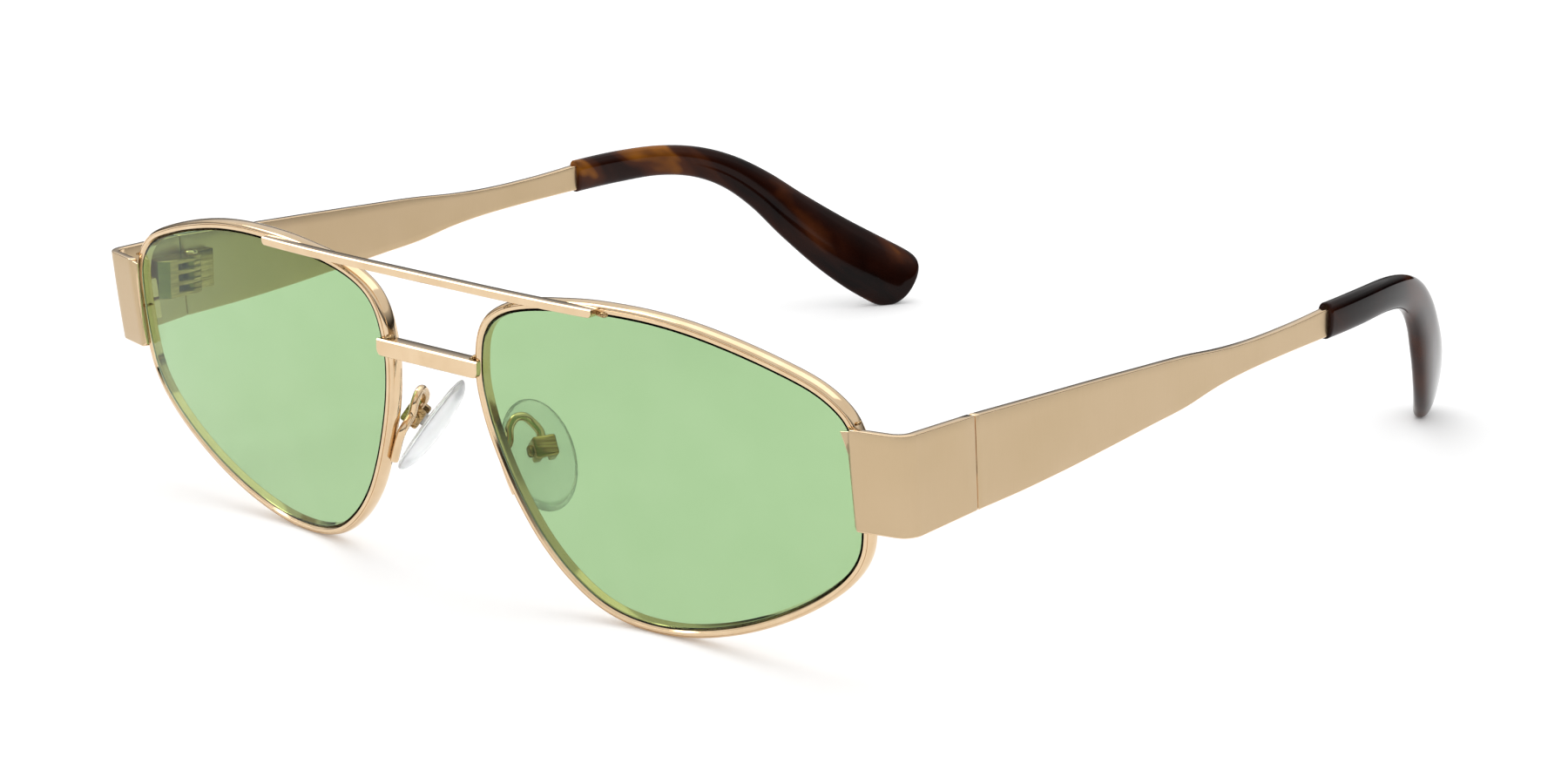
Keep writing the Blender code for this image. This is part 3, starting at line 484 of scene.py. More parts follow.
def endpiece_plan():
    """Outer face in plan: (place, outward normal), from the flange's edge to the seam."""
    run = math.hypot(CORNER_OUT, FLANGE_SLOPE * CORNER_OUT)
    front = Vector((CORNER_OUT, FLANGE_SLOPE * CORNER_OUT)) / run
    back = Vector((SEAM_X - CORNER_X, SEAM_BACK)).normalized()
    corner = Vector((CORNER_X, CORNER_Y))
    turn = front.angle(back)
    reach = CORNER_R * math.tan(turn / 2)
    centre = corner - front * reach + Vector((-front.y, front.x)) * CORNER_R
    out = []
    for share in (0.0, 0.008, 0.025, 0.05, 0.08, 0.2, 0.4, 0.6, 0.8):
        out.append((corner - front * (run + (reach - run) * share), Vector((front.y, -front.x))))
    start = math.atan2(-front.x, front.y)
    for i in range(25):
        n = Vector((math.cos(start + turn * i / 24), math.sin(start + turn * i / 24)))
        out.append((centre + n * CORNER_R, n))
    first, last = corner + back * reach, Vector((SEAM_X, SEAM_Y - SEAM_GAP / 2))
    for share in (0.2, 0.5, 0.8, 0.97, 1.0):
        out.append((first.lerp(last, share), Vector((back.y, -back.x))))
    return out


def endpiece_point(p, n, z, depth, at_flange_edge):
    """Point of the plate: the flange follows the rim's lean, the back edge follows the seam."""
    x, y = p.x - n.x * depth, p.y - n.y * depth
    flange_x = min(x, OPEN_OUT + 2.0)
    front_lean = surf(flange_x, z) - surf(flange_x, PLATE_MID)
    back = min(1.0, max(0.0, (p.y - CORNER_Y) / SEAM_BACK))
    if at_flange_edge:
        shift = opening_x(min(max(z, PLATE_LOW), PLATE_TOP), max) - OPEN_OUT
        x, y = x + shift, y + FLANGE_SLOPE * shift
    return (x, y + front_lean * (1 - back) + (seam_y(z) - SEAM_Y) * back, z)


for side, tag in SIDES:
    rings = []
    plan = endpiece_plan()
    for i, (p, n) in enumerate(plan):
        low = PLATE_LOW + PLATE_RISE * max(0.0, (p.y - CORNER_Y) / SEAM_BACK)
        ease = FLANGE_EASE[i] if i < len(FLANGE_EASE) else END_EASE if i == len(plan) - 1 else 0.0
        z_rows = [PLATE_TOP + (low - PLATE_TOP) * k / 8 for k in range(1, 8)]
        section = plate_section(PLATE_TOP - ease, low + ease, ease, z_rows)
        rings.append([endpiece_point(p, n, q.x, q.y, i == 0) for q in section])
    endpiece = loft("endpiece_plate_" + tag, rings, SATIN, side, 50.0)
    polish_edges(endpiece)
    fit(endpiece, "front", "satin_pale_gold", "endpiece_" + tag)


# ---- Closing blocks --------------------------------------------------------------------
# Behind each endpiece two small blocks are soldered to the rim's ends, and a slotted screw
# through both pulls the rim shut on its lens.
def block(name, centre, axes, halves, finish, side, bevel=0.12):
    """Small milled block with its own axes and rounded edges."""
    c = Vector(centre)
    a, b, n = [Vector(axis) * h for axis, h in zip(axes, halves)]
    low = [c - a - b - n, c + a - b - n, c + a + b - n, c - a + b - n]
    piece = loft(name, [low, [p + 2 * n for p in low]], finish, side)
    rounding = piece.modifiers.new("broken_edges", "BEVEL")
    rounding.width, rounding.segments, rounding.limit_method = bevel * 0.001, 3, "ANGLE"
    return piece


def settle(piece, sharp=35.0):
    """Makes a piece's modifiers part of its mesh and shades it again."""
    done = piece.evaluated_get(bpy.context.evaluated_depsgraph_get())
    made = bpy.data.meshes.new_from_object(done)
    piece.modifiers.clear()
    piece.data = made
    made.shade_smooth()
    made.set_sharp_from_angle(angle=math.radians(sharp))


def cut_away(piece, cutter):
    """Cuts one shape out of a piece."""
    tool = piece.modifiers.new("cut", "BOOLEAN")
    tool.operation, tool.solver, tool.object = "DIFFERENCE", "EXACT", cutter
    settle(piece)
    bpy.data.objects.remove(cutter)
    return piece


def circle(centre, u, v, radius, count):
    """Points round a centre, in the plane of two directions."""
    return [centre + radius * (math.cos(a) * u + math.sin(a) * v)
            for a in [2 * math.pi * i / count for i in range(count)]]


def turned(name, centre, axis, profile, finish, side):
    """Round piece from (distance along its axis, radius) pairs."""
    axis = Vector(axis).normalized()
    u = axis.cross(Vector((0.31, 0.27, 0.91))).normalized()
    v = axis.cross(u)
    rings = [circle(Vector(centre) + axis * along, u, v, radius, 28) for along, radius in profile]
    return loft(name, rings, finish, side)


def bead(name, points, radius, finish, side):
    """Run of solder along a few points, fat in the middle and drawn out at its ends."""
    line = spline(points, False, 6)
    rings = []
    for i, p in enumerate(line):
        d = (line[min(i + 1, len(line) - 1)] - line[max(i - 1, 0)]).normalized()
        u = d.cross(Vector((0.13, 0.92, 0.21))).normalized()
        v = d.cross(u)
        share = i / (len(line) - 1)
        fullness = 0.12 + 0.88 * math.sin(math.pi * share) ** 0.5
        r = radius * fullness * (1 + 0.1 * math.sin(9 * share + 2))
        rings.append(circle(p, u, v, r, 12))
    return loft(name, rings, finish, side)


BLOCK_H = 2.6
SCREW_R = 0.42
SLOT_HALF = 0.13       # half the width of a screw's slot


def slot_cutter(middle, axes, half_length, half_width, ends, finish, side):
    """Cutter for a slot that runs along the first axis, between two heights on the third."""
    along, across, up = axes
    corners = ((-half_length, -half_width), (half_length, -half_width),
               (half_length, half_width), (-half_length, half_width))
    return loft("slot", [[middle + along * a + across * b + up * h for a, b in corners]
                         for h in ends], finish, side)


whole_rim = rim_line(0.0, RIM_STEPS)
for side, tag in SIDES:
    here, out, back = whole_rim[0]
    up = back.cross(out).normalized()
    up = up if up.z > 0 else -up
    middle = here + out * (RIM_BAND + 1.4) + back * 2.25
    for name, way in (("upper", 1), ("lower", -1)):
        centre = middle + up * way * (SAW_CUT / 2 + BLOCK_H / 2)
        fit_gold(block(f"closing_block_{name}_{tag}_milled", centre, (out, back, up),
                       (1.42, 1.35, BLOCK_H / 2), POLISHED, side), f"closing_block_{name}_{tag}")
    foot = middle - up * (SAW_CUT / 2 + BLOCK_H + 0.12)
    screw = turned("closing_screw_turned_" + tag, foot, up,
                   [(-0.55, 0.55), (-0.5, 0.68), (-0.38, 0.8), (-0.2, 0.85), (0.08, 0.85),
                    (0.1, SCREW_R), (5.5, SCREW_R), (5.6, 0.3)], POLISHED, side)
    slot = slot_cutter(foot, (out, back, up), 1.2, SLOT_HALF, (-0.4, -0.8), POLISHED, side)
    fit_gold(cut_away(screw, slot), "closing_screw_" + tag)


# ---- Solder ----------------------------------------------------------------------------
# The bridge, brow bar and endpieces are joined to the rims with silver solder. It shows as
# small rounded beads in the corners, dull where the plating is thin over its grainy surface.
def plated_solder():
    """Plating over solder: the same gold, browner and rough, with grains about 0.12 mm across."""
    mat, at = new_finish("plated_solder")
    grains = add(mat, "TexNoise", {"Scale": 8000.0, "Detail": 2.0}, {"Vector": at})
    tone = add(mat, "ValToRGB", {"stops": [(0.40, "#4A331C"), (0.62, "#D9B988")]}, {"Fac": grains})
    relief = add(mat, "Bump", {"Strength": 0.6, "Distance": 0.00006}, {"Height": grains})
    metal = add(mat, "BsdfPrincipled", {"Metallic": 1.0, "Roughness": 0.3},
                {"Base Color": tone, "Normal": relief})
    add(mat, "OutputMaterial", links={"Surface": metal})
    return mat


def upper_rim_at(x):
    """Place on the upper half of the rim at a distance from the middle."""
    return min((f for f in split_rim if f[0].z > MID_Z), key=lambda f: abs(f[0].x - x))


SOLDERED = plated_solder()
for side, tag in SIDES:
    # Along the bridge's top and underside, in their corners with the rim wall.
    x0 = opening_x(bridge_high) - RIM_BAND
    beads = [
        ("bridge_top", [(x0 - 0.05, bridge_front + t, bridge_high + 0.05)
                        for t in (0.35, 1.1, 2.0)], 0.42),
        ("bridge_low", [(x0 + 0.15, bridge_front + t, bridge_low - 0.02)
                        for t in (0.8, 1.4, 2.0)], 0.25)]
    # Where the brow bar's end leaves the rim, and where the bar first meets it.
    spot = beside(upper_rim_at(BROW_HALF + 0.45), 0.3, -0.02)
    beads.append(("brow_end", [spot + Vector((t, 0.18 * t, -0.08)) for t in (-0.75, 0.0, 0.8)],
                  0.33))
    spot = beside(upper_rim_at(14.5), 1.0, 0.1)
    beads.append(("brow_near", [spot + Vector((t, 0.0, t * 0.5)) for t in (-0.8, 0.0, 0.8)], 0.17))
    # Inside the endpiece, where its flange meets the rim.
    wall = [f for f in split_rim if f[0].x > MID_X and PLATE_LOW + 0.5 < f[0].z < PLATE_TOP - 0.5]
    wall.sort(key=lambda f: f[0].z)
    beads.append(("endpiece_top", [beside(wall[-1], RIM_BAND + 0.1, t) + Vector((0, 0, 0.42))
                                   for t in (0.0, 0.5, 1.0)], 0.22))
    for name, points, radius in beads:
        fit_gold(bead(f"solder_{name}_{tag}", points, radius, SOLDERED, side))


# ---- Hinges ----------------------------------------------------------------------------
# Each hinge is a seven-knuckle barrel, milled and plated: four knuckles on the front leaf,
# which is a block soldered inside the endpiece, three on the rear leaf inside the temple, and
# a slotted screw down through all seven.
KNUCKLES = 7
KNUCKLE_R = 1.3
KNUCKLE_H = 0.76
KNUCKLE_GAP = 0.09
BARREL_H = KNUCKLES * KNUCKLE_H
HINGE_TOP = PLATE_TOP - 2.4
HINGE_LOW = HINGE_TOP - BARREL_H
HINGE_X = SEAM_X - PLATE_T - 0.14 - KNUCKLE_R - 0.2
HINGE_Y = SEAM_Y
LEAF_OUT = SEAM_X - PLATE_T - HINGE_X + 0.02    # plate's inner face, from the hinge's axis


def hinge_gold_with_painted_shade():
    """Gold over the milled hinge, left unpolished, with fine milling lines about 0.15 mm apart.
    Its colour is darkened and browned all over: painted shade for the hinge's dark slots."""
    mat, at = new_finish("gold_darkened_as_painted_shade")
    level = add(mat, "Mapping", {"Scale": (300.0, 300.0, 6600.0)}, {"Vector": at})
    lines = add(mat, "TexNoise", {"Scale": 1.0, "Detail": 2.0}, {"Vector": level})
    # Painted shade: the base colour is a dark brown gold all over, with the milling lines as real
    # tone.
    tone = add(mat, "ValToRGB", {"stops": [(0.35, "#8F7449"), (0.65, "#C9AC7C")]}, {"Fac": lines})
    relief = add(mat, "Bump", {"Strength": 0.2, "Distance": 0.00002}, {"Height": lines})
    metal = add(mat, "BsdfPrincipled", {"Metallic": 1.0, "Roughness": 0.16},
                {"Base Color": tone, "Normal": relief})
    add(mat, "OutputMaterial", links={"Surface": metal})
    return mat


GOLD_WITH_PAINTED_SHADE = hinge_gold_with_painted_shade()


def arc(radius, start, stop, steps):
    """Points of a round arc between two angles in degrees."""
    angles = [math.radians(start + (stop - start) * i / steps) for i in range(steps + 1)]
    return [(radius * math.cos(a), radius * math.sin(a)) for a in angles]


def slab(bm, outline, z0, z1, side, ease=0.05):
    """Flat piece on the hinge's axis with its upper and lower edges broken."""
    pts = [Vector(p) for p in outline]
    centre = sum(pts, Vector((0, 0))) / len(pts)
    rings = []
    for z, inset in ((z0, ease), (z0 + ease, 0.0), (z1 - ease, 0.0), (z1, ease)):
        ring = []
        for p in pts:
            q = p + (centre - p).normalized() * inset
            ring.append((HINGE_X + q.x, HINGE_Y + q.y, z))
        rings.append(ring)
    skin(bm, rings, side)


for side, tag in SIDES:
    front = bmesh.new()
    slab(front, [(-1.25, -3.3), (-1.25, -4.7), (-0.3, -6.0), (LEAF_OUT, -6.0), (LEAF_OUT, -3.3)],
         HINGE_LOW, HINGE_TOP, side, 0.1)
    rear = bmesh.new()
    slab(rear, [(LEAF_OUT, 1.62), (LEAF_OUT, 3.9), (LEAF_OUT - 0.4, 4.2), (LEAF_OUT - 1.25, 4.2),
                (LEAF_OUT - 1.25, 1.62)], HINGE_LOW, HINGE_TOP, side, 0.1)
    for i in range(KNUCKLES):
        z0 = HINGE_LOW + i * KNUCKLE_H + KNUCKLE_GAP / 2
        z1 = z0 + KNUCKLE_H - KNUCKLE_GAP
        if i % 2 == 0:
            neck = [(-KNUCKLE_R, -1.3), (-1.2, -3.4), (LEAF_OUT, -3.4), (LEAF_OUT, -0.6)]
            slab(front, arc(KNUCKLE_R, 0, 180, 20) + neck, z0, z1, side)
        else:
            neck = [(LEAF_OUT, 0.7), (LEAF_OUT, 1.75), (LEAF_OUT - 1.2, 1.75)]
            slab(rear, arc(KNUCKLE_R, 130, 345, 24) + neck, z0, z1, side)
    fit_gold(shaped("hinge_front_milled_" + tag, front, GOLD_WITH_PAINTED_SHADE, 30.0), "hinge_front_" + tag)
    fit(shaped("hinge_rear_milled_" + tag, rear, GOLD_WITH_PAINTED_SHADE, 30.0), "temple_" + tag,
        "polished_pale_gold", "hinge_rear_" + tag)
    foot, axes = Vector((HINGE_X, HINGE_Y, HINGE_LOW)), Matrix.Identity(3)
    screw = turned("hinge_screw_turned_" + tag, foot, axes[2],
                   [(0.2, 0.4), (0.3, 0.5), (BARREL_H - 0.05, 0.5), (BARREL_H, 0.9),
                    (BARREL_H + 0.28, 0.95), (BARREL_H + 0.45, 0.86), (BARREL_H + 0.55, 0.68)],
                   POLISHED, side)
    slot = slot_cutter(foot, axes, 1.2, SLOT_HALF, (BARREL_H + 0.3, BARREL_H + 0.8), POLISHED,
                       side)
    fit_gold(cut_away(screw, slot), "hinge_screw_" + tag)


# ---- Temples ---------------------------------------------------------------------------
# Each temple is a plate stamped from the same sheet as the endpiece, tall at the hinge and
# narrowing to a strip that runs on into the acetate tip. Its faces are brushed upright and its
# edges polished.
TEMPLE_L = 76.0        # seam to tip mouth
TOE_IN = 0.018         # the temples converge towards the back
TIP_BEND = 0.0053      # inward bend of the tips, 1/mm
# Rise of each edge above the one at the seam, by share of the length.
UPPER_EDGE = [(0.0, 0.0), (0.18, -0.62), (0.30, -1.0), (0.44, -1.5), (0.57, -2.0), (0.68, -2.7),
              (0.78, -2.95), (0.90, -2.75), (1.0, -2.3)]
LOWER_EDGE = [(0.0, 0.0), (0.12, 0.3), (0.24, 0.85), (0.36, 1.6), (0.48, 2.4), (0.57, 3.0),
              (0.66, 4.1), (0.75, 4.75), (0.87, 5.15), (1.0, 5.4)]
MOUTH_Y = SEAM_Y + TEMPLE_L


def read_edge(table, share):
    """Smooth reading of an edge's (share, rise) table."""
    pts = spline([(a, b) for a, b in table], False, 10)
    for a, b in zip(pts, pts[1:]):
        if a.x <= share <= b.x:
            return a.y + (b.y - a.y) * (share - a.x) / max(b.x - a.x, 1e-9)
    return pts[-1].y


def temple_x(y):
    """Outer face of the temple, and the line that the tip follows inwards."""
    bend = max(0.0, y - MOUTH_Y - 2.0)
    return SEAM_X - TOE_IN * (y - SEAM_Y) - TIP_BEND * bend * bend


for side, tag in SIDES:
    rings = []
    shares = [0.0, 0.0015, 0.01] + [0.02 + 0.98 * i / 64 for i in range(65)] + [1.03]
    for i, share in enumerate(shares):
        y = SEAM_Y + SEAM_GAP / 2 + (TEMPLE_L - SEAM_GAP / 2) * share
        ease = END_EASE if i == 0 else 0.0
        top = PLATE_TOP + read_edge(UPPER_EDGE, min(share, 1.0)) - ease
        low = PLATE_LOW + PLATE_RISE + read_edge(LOWER_EDGE, min(share, 1.0)) + ease
        fade = max(0.0, 1 - share * 6)
        z_rows = [top + (low - top) * k / 6 for k in range(1, 6)]
        ring = []
        for q in plate_section(top, low, ease, z_rows):
            yy = y + (seam_y(q.x) - SEAM_Y) * fade
            ring.append((temple_x(yy) - q.y, yy, q.x))
        rings.append(ring)
    temple = loft("temple_plate_" + tag, rings, SATIN, side, 50.0)
    polish_edges(temple)
    fit(temple, "temple_" + tag, "satin_pale_gold", "temple_" + tag)


# ---- Temple tips -----------------------------------------------------------------------
# The tips are cut from tortoise acetate sheet, tumbled to a deep gloss and pushed hot over the
# temple's core. They turn down behind the ear, widen into a paddle and bend inwards.
# (distance behind the mouth, height above the floor, width) of the tip's middle line.
TIP_LINE = [(0.0, 27.7, 4.9), (9.0, 27.85, 4.9), (17.5, 27.7, 4.7), (24.5, 26.6, 4.8),
            (30.5, 24.3, 5.3), (36.0, 20.7, 6.3), (41.5, 15.9, 7.8), (47.5, 10.9, 9.3),
            (52.0, 7.5, 10.1), (55.6, 5.055, 10.3)]
TIP_T = (2.3, 2.8, 3.2)    # thickness at the mouth, bend and end
TIP_TWIST = 0.4            # how far the paddle's width turns in with the bend
TIP_BLUNT = (2.3, 3.6)     # how squarely the paddle's end closes, at its front and back
LEFT_TIP_DARKER = 0.09     # the left tip's colours are shifted darker all over


def tortoise_acetate():
    """Dark tortoise acetate: near black with red-brown clouds and honey flecks 5 to 15 mm long,
    drawn out along the sheet, under a tumbled gloss with very faint ripples."""
    mat, at = new_finish("dark_tortoise_acetate")
    drawn = add(mat, "Mapping", {"vector_type": "TEXTURE", "Rotation": (-0.66, 0.0, 0.0),
                                 "Location": (0.004, 0.004, -0.0015),
                                 "Scale": (0.016, 0.036, 0.009)}, {"Vector": at})
    clouds = add(mat, "TexNoise", {"Scale": 1.0, "Detail": 3.0, "Roughness": 0.55,
                                   "Distortion": 0.6}, {"Vector": drawn})
    spot = add(mat, "SeparateXYZ", links={"Vector": at})
    left_tip = add(mat, "Math", {"operation": "GREATER_THAN", 1: 0.0}, {0: spot.outputs["X"]})
    darker = add(mat, "Math", {"operation": "MULTIPLY_ADD", 1: -LEFT_TIP_DARKER},
                 {0: left_tip, 2: clouds})
    tone = add(mat, "ValToRGB", {"stops": [(0.36, "#0C0403"), (0.50, "#220C06"), (0.60, "#43200E"),
                                           (0.68, "#8C5416")]}, {"Fac": darker})
    ripple = add(mat, "TexNoise", {"Scale": 260.0, "Detail": 1.0}, {"Vector": at})
    relief = add(mat, "Bump", {"Strength": 0.05, "Distance": 0.0001}, {"Height": ripple})
    plastic = add(mat, "BsdfPrincipled",
                  {"Roughness": 0.08, "IOR": 1.49, "Specular IOR Level": 0.12},
                  {"Base Color": tone, "Normal": relief})
    add(mat, "OutputMaterial", links={"Surface": plastic})
    return mat


ACETATE = tortoise_acetate()


def tip_point(centre, across, w, t):
    """Point of the tip at a width and thickness from its middle line."""
    y, z = centre.x + across.x * w, centre.y + across.y * w
    slope = temple_x(y + 0.5) - temple_x(y - 0.5)
    n = Vector((1.0, -slope)).normalized()
    sheet = temple_x(centre.x) + TIP_TWIST * (temple_x(y) - temple_x(centre.x))
    return (sheet - PLATE_T / 2 + n.x * t, y + n.y * t, z)


def oval(half_w, half_t):
    """Squarish oval section of a tip: 32 (width, thickness) points."""
    out = []
    for i in range(32):
        a = 2 * math.pi * (i + 0.5) / 32
        c, s = math.cos(a), math.sin(a)
        out.append((half_w * math.copysign(abs(c) ** (2 / 2.6), c),
                    half_t * math.copysign(abs(s) ** (2 / 2.6), s)))
    return out


tip_places = spline(TIP_LINE, False, 7)
for side, tag in SIDES:
    rings = []
    for i, p in enumerate(tip_places):
        a, b = tip_places[max(i - 1, 0)], tip_places[min(i + 1, len(tip_places) - 1)]
        along = Vector((b.x - a.x, b.y - a.y)).normalized()
        across = Vector((-along.y, along.x))
        share = i / (len(tip_places) - 1)
        thick = TIP_T[0] + (TIP_T[1] - TIP_T[0]) * min(1.0, share * 2)
        thick += (TIP_T[2] - TIP_T[1]) * max(0.0, share * 2 - 1)
        centre = Vector((MOUTH_Y + p.x, p.y))
        if i == 0:    # the mouth, with its rim rounded over
            for step, inset in ((0.2, 0.22), (0.24, 0.08), (0.36, 0.0)):
                rings.append([tip_point(centre + along * step, across, w, t)
                              for w, t in oval(p.z / 2 - inset, thick / 2 - inset)])
        else:
            rings.append([tip_point(centre, across, w, t) for w, t in oval(p.z / 2, thick / 2)])
    for i in range(1, 14):
        reach = math.sin(math.radians(90 * i / 14))
        end = centre + along * (p.z / 2 * 0.93 * reach)
        k_front, k_back = [(1 - reach ** blunt) ** (1 / blunt) for blunt in TIP_BLUNT]
        middle = across * (p.z / 4 * (k_back - k_front))
        k = (k_front + k_back) / 2
        rings.append([tip_point(end + middle, across, w, t)
                      for w, t in oval(p.z / 2 * k, TIP_T[2] * (0.42 + 0.58 * k ** 0.7) / 2)])
    fit(loft("temple_tip_acetate_" + tag, rings, ACETATE, side, 60.0), "temple_" + tag,
        "dark_tortoise_acetate", "temple_tip_" + tag)


# ---- Nose pads -------------------------------------------------------------------------
# Each pad is a soft oval of clear silicone moulded over a small hard core, whose lug sits in a
# folded metal box and rocks on a fine screw. The box hangs on a looped wire arm soldered to
# the inside of the rim.
PAD_L, PAD_W = 14.8, 9.2
PAD_Z = BASE_Z + 0.424 * LENS_H
PAD_CENTRE = Vector((OPEN_IN + 1.0, surf(OPEN_IN, PAD_Z) + 7.48, PAD_Z))
PAD_UP = Vector((-0.538, 0.214, 0.815)).normalized()
PAD_FACE = Vector((-0.718, 0.392, -0.577)).normalized()
PAD_SIDE = PAD_UP.cross(PAD_FACE).normalized()
PAD_AXES = (PAD_UP, PAD_SIDE, PAD_FACE)
PAD_PIVOT = PAD_CENTRE - PAD_FACE * 2.25
WIRE_R = 0.55
# (share of the oval, height above its middle) from the face that rests on the nose to the back.
PAD_LAYERS = ((0.02, 1.6), (0.3, 1.54), (0.55, 1.36), (0.76, 1.04), (0.9, 0.66), (0.97, 0.26),
              (1.0, -0.14), (0.985, -0.36), (0.93, -0.55), (0.84, -0.68), (0.66, -0.78),
              (0.35, -0.84), (0.02, -0.85))


def clear_silicone():
    """Clear moulded silicone: lets light through, slightly milky, with a soft skin that dulls
    its shine in patches about 2 mm across."""
    mat, at = new_finish("clear_moulded_silicone")
    skin_marks = add(mat, "TexNoise", {"Scale": 500.0, "Detail": 2.0}, {"Vector": at})
    milk = add(mat, "ValToRGB", {"stops": [(0.3, "#F6F8FA"), (0.7, "#FDFEFF")]},
               {"Fac": skin_marks})
    gloss = add(mat, "MapRange", {"To Min": 0.1, "To Max": 0.22}, {"Value": skin_marks})
    rubber = add(mat, "BsdfPrincipled",
                 {"IOR": 1.41, "Transmission Weight": 0.8, "Specular IOR Level": 0.3},
                 {"Base Color": milk, "Roughness": gloss})
    add(mat, "OutputMaterial", links={"Surface": rubber})
    return mat


def clear_hard_core():
    """Clear polycarbonate core, sharper and brighter than the silicone round it."""
    mat, at = new_finish("clear_polycarbonate_core")
    flow = add(mat, "TexNoise", {"Scale": 900.0, "Detail": 1.0}, {"Vector": at})
    tone = add(mat, "ValToRGB", {"stops": [(0.3, "#E4E8EA"), (0.7, "#F4F6F6")]}, {"Fac": flow})
    plastic = add(mat, "BsdfPrincipled",
                  {"IOR": 1.58, "Roughness": 0.12, "Transmission Weight": 0.6},
                  {"Base Color": tone})
    add(mat, "OutputMaterial", links={"Surface": plastic})
    return mat


def pad_ring(share, height):
    """One oval of the pad."""
    return circle(PAD_CENTRE + PAD_FACE * height, PAD_UP * (PAD_L / 2), PAD_SIDE * (PAD_W / 2),
                  share, 40)


def wire(name, points, radius, finish, side):
    """Round wire bent along the points."""
    line = spline(points, False, 12)
    rings = []
    u = None
    for i, p in enumerate(line):
        d = (line[min(i + 1, len(line) - 1)] - line[max(i - 1, 0)]).normalized()
        u = (d.cross(Vector((0.2, 0.1, 1.0))) if u is None else u - d * u.dot(d)).normalized()
        v = d.cross(u)
        ease = 0.75 if i in (0, len(line) - 1) else 1.0
        rings.append(circle(p, u, v, radius * ease, 18))
    return loft(name, rings, finish, side, 40.0)


SILICONE = clear_silicone()
CORE = clear_hard_core()
nose_side = [f for f in whole_rim
             if f[0].x < OPEN_IN + 0.3 * LENS_W and f[0].z < BASE_Z + 0.7 * LENS_H]
for side, tag in SIDES:
    pad = loft("nose_pad_silicone_" + tag, [pad_ring(*layer) for layer in PAD_LAYERS], SILICONE,
               side, 60.0)
    fit(pad, "pad_" + tag, "clear_silicone", "nose_pad_" + tag)
    core = block("nose_pad_lug_" + tag, PAD_CENTRE - PAD_FACE * 1.75, PAD_AXES,
                 (0.72, 0.46, 0.85), CORE, side)
    fit(core, "pad_" + tag, "clear_silicone")

    # The box and its screw take the same darkened gold, with its painted shade.
    box = block("pad_box_folded_" + tag, PAD_PIVOT - PAD_FACE * 0.3, PAD_AXES,
                (1.35, 1.5, 1.25), GOLD_WITH_PAINTED_SHADE, side, 0.34)
    settle(box)
    trough = slot_cutter(PAD_PIVOT, PAD_AXES, 3.0, 0.62, (-1.0, 2.8), POLISHED, side)
    fit_gold(cut_away(box, trough), "pad_box_" + tag)
    screw = turned("pad_screw_turned_" + tag, PAD_PIVOT, PAD_SIDE,
                   [(-1.62, 0.2), (-1.56, 0.3), (1.5, 0.3), (1.5, 0.78), (1.8, 0.78), (1.95, 0.64),
                    (2.0, 0.5)], GOLD_WITH_PAINTED_SHADE, side)
    slot = slot_cutter(PAD_PIVOT, (PAD_UP, PAD_FACE, PAD_SIDE), 1.0, 0.12, (1.8, 2.2),
                       GOLD_WITH_PAINTED_SHADE, side)
    fit_gold(cut_away(screw, slot), "pad_screw_" + tag)

    # The arm: a foot along the rim, then a loop that swings out and down into the box.
    out = RIM_BAND + WIRE_R + 0.02
    foot = []
    for share, lift, back in ((0.35, 0.0, 1.25), (0.385, 0.0, 1.32), (0.42, 0.02, 1.5),
                              (0.455, 0.1, 1.9)):
        z = BASE_Z + share * LENS_H
        foot.append(beside(min(nose_side, key=lambda f: abs(f[0].z - z)), out + lift, back))
    loop = [PAD_CENTRE + Vector(p) for p in
            ((-0.85, -4.3, 2.4), (-1.1, -3.9, 4.1), (-0.95, -3.05, 5.2), (-0.5, -2.0, 5.25),
             (-0.05, -1.05, 4.4))]
    top = PAD_PIVOT - PAD_FACE * 0.4 + PAD_UP * 1.15
    fit_gold(wire("pad_arm_wire_" + tag, foot + loop + [top + PAD_UP * 1.1, top], WIRE_R,
                  POLISHED, side), "pad_arm_" + tag)
    seam = [foot[0] + Vector((0.42, 0, -0.2)), foot[1] + Vector((0.42, 0, 0)),
            foot[2] + Vector((0.42, 0, -0.3))]
    fit_gold(bead("solder_pad_arm_" + tag, seam, 0.3, SOLDERED, side))


# ---- Floor, light and camera -----------------------------------------------------------
# A plain white sweep under a bright room, with a soft box above and one at the left. Dark cloth
# hung low all round gives the polished metal its dark lines.
FLOOR_HALF = 6.0       # metres, as is everything in this section
CLOTH_R, CLOTH_H = 1.8, 0.62


def white_paper():
    """Matt white paper, with a little glow of its own so that it stays white under the frame."""
    mat, at = new_finish("matt_white_paper")
    fibre = add(mat, "TexNoise", {"Scale": 40.0, "Detail": 2.0}, {"Vector": at})
    tone = add(mat, "ValToRGB", {"stops": [(0.0, "#FAFAFA"), (1.0, "#FDFDFD")]}, {"Fac": fibre})
    paper = add(mat, "BsdfPrincipled", {"Roughness": 0.9, "Specular IOR Level": 0.1,
                                        "Emission Color": linear("#FFFFFF"),
                                        "Emission Strength": 0.1},
                {"Base Color": tone})
    add(mat, "OutputMaterial", links={"Surface": paper})
    return mat


def dark_cloth():
    """Dark cloth whose shade thins out upwards into the bright room."""
    mat, at = new_finish("dark_hung_cloth")
    height = add(mat, "SeparateXYZ", links={"Vector": at})
    shade = add(mat, "ValToRGB", {"stops": [(0.12, "#161413"), (0.28, "#7C7C7C"),
                                            (0.62, "#CACACA")]}, {"Fac": height.outputs["Z"]})
    glow = add(mat, "Emission", {"Strength": 1.0}, {"Color": shade})
    add(mat, "OutputMaterial", links={"Surface": glow})
    return mat


def studio_piece(name, points, faces, finish):
    """Mesh that belongs to the studio, in metres."""
    mesh = bpy.data.meshes.new(name)
    mesh.from_pydata(points, [], faces)
    mesh.materials.append(finish)
    made = stand(name, mesh)
    return made


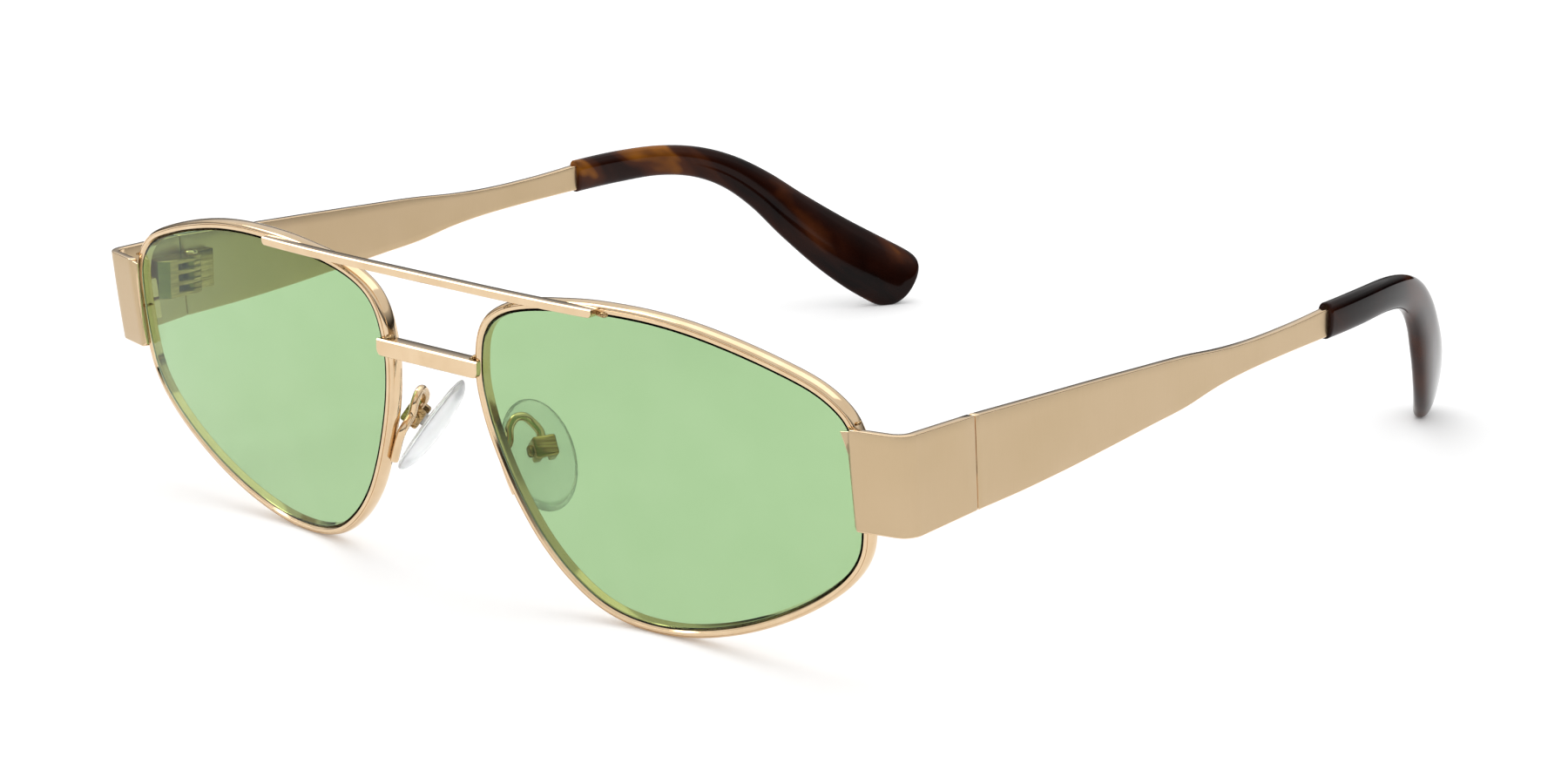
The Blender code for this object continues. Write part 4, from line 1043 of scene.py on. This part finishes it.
studio_piece("floor_sweep", [(a * FLOOR_HALF, b * FLOOR_HALF, 0.0)
                             for a, b in ((-1, -1), (1, -1), (1, 1), (-1, 1))],
             [(0, 1, 2, 3)], white_paper())
turns = [2 * math.pi * i / 48 for i in range(48)]
cloth = studio_piece("flag_round", [(CLOTH_R * math.cos(a), CLOTH_R * math.sin(a), z)
                                    for z in (0.0, CLOTH_H) for a in turns],
                     [(i, (i + 1) % 48, 48 + (i + 1) % 48, 48 + i) for i in range(48)],
                     dark_cloth())
# The cloth shows only in the metal, the acetate and the lenses.
cloth.visible_camera = cloth.visible_diffuse = False
cloth.visible_transmission = cloth.visible_shadow = False

world = bpy.data.worlds.new("studio")
bpy.context.scene.world = world
world.use_nodes = True
world.node_tree.nodes.clear()
sky_at = add(world, "TexCoord").outputs["Generated"]
height = add(world, "SeparateXYZ", links={"Vector": sky_at})
sky = add(world, "ValToRGB", {"stops": [(0.0, "#E2E2E2"), (0.5, "#F2F2F2")]},
          {"Fac": height.outputs["Z"]})
glow = add(world, "Background", {"Strength": 1.0}, {"Color": sky})
add(world, "OutputWorld", links={"Surface": glow})


def soft_box(name, centre, width, height, watts, on_floor):
    """Square studio light; one that isn't on the floor only shows in the polished pieces."""
    lamp = bpy.data.lights.new(name, "AREA")
    lamp.shape, lamp.size, lamp.size_y, lamp.energy = "RECTANGLE", width, height, watts
    lit = stand(name, lamp)
    lit.location = centre
    lit.rotation_mode = "QUATERNION"
    lit.rotation_quaternion = (-Vector(centre)).to_track_quat("-Z", "Y")
    lit.visible_camera = False
    lit.visible_diffuse = on_floor


soft_box("soft_box_top", (-0.1, 0.3, 1.4), 1.6, 1.4, 6.0, True)
soft_box("soft_box_left", (-1.05, -0.45, 1.25), 0.9, 0.9, 11.0, False)

# The camera stands in front and to the frame's left, a little above it and rolled a touch.
CAMERA_AT = Vector((0.30828, -0.37304, 0.14410))
camera = bpy.data.cameras.new("camera")
camera.sensor_width = 36.0
camera.lens = 83.1
turn, rise, roll = math.radians(40.371), math.radians(15.524), math.radians(0.281)
behind = Vector((math.sin(turn) * math.cos(rise), -math.cos(turn) * math.cos(rise), math.sin(rise)))
level = Vector((math.cos(turn), math.sin(turn), 0.0))
upward = behind.cross(level)
across, upward = (level * math.cos(roll) + upward * math.sin(roll),
                  upward * math.cos(roll) - level * math.sin(roll))
viewer = stand("camera", camera)
viewer.matrix_world = Matrix.Translation(CAMERA_AT) @ Matrix(
    (across, upward, behind)).transposed().to_4x4()
camera.clip_start, camera.clip_end = 0.01, 50.0
bpy.context.scene.camera = viewer
bpy.context.scene.view_settings.view_transform = "Standard"
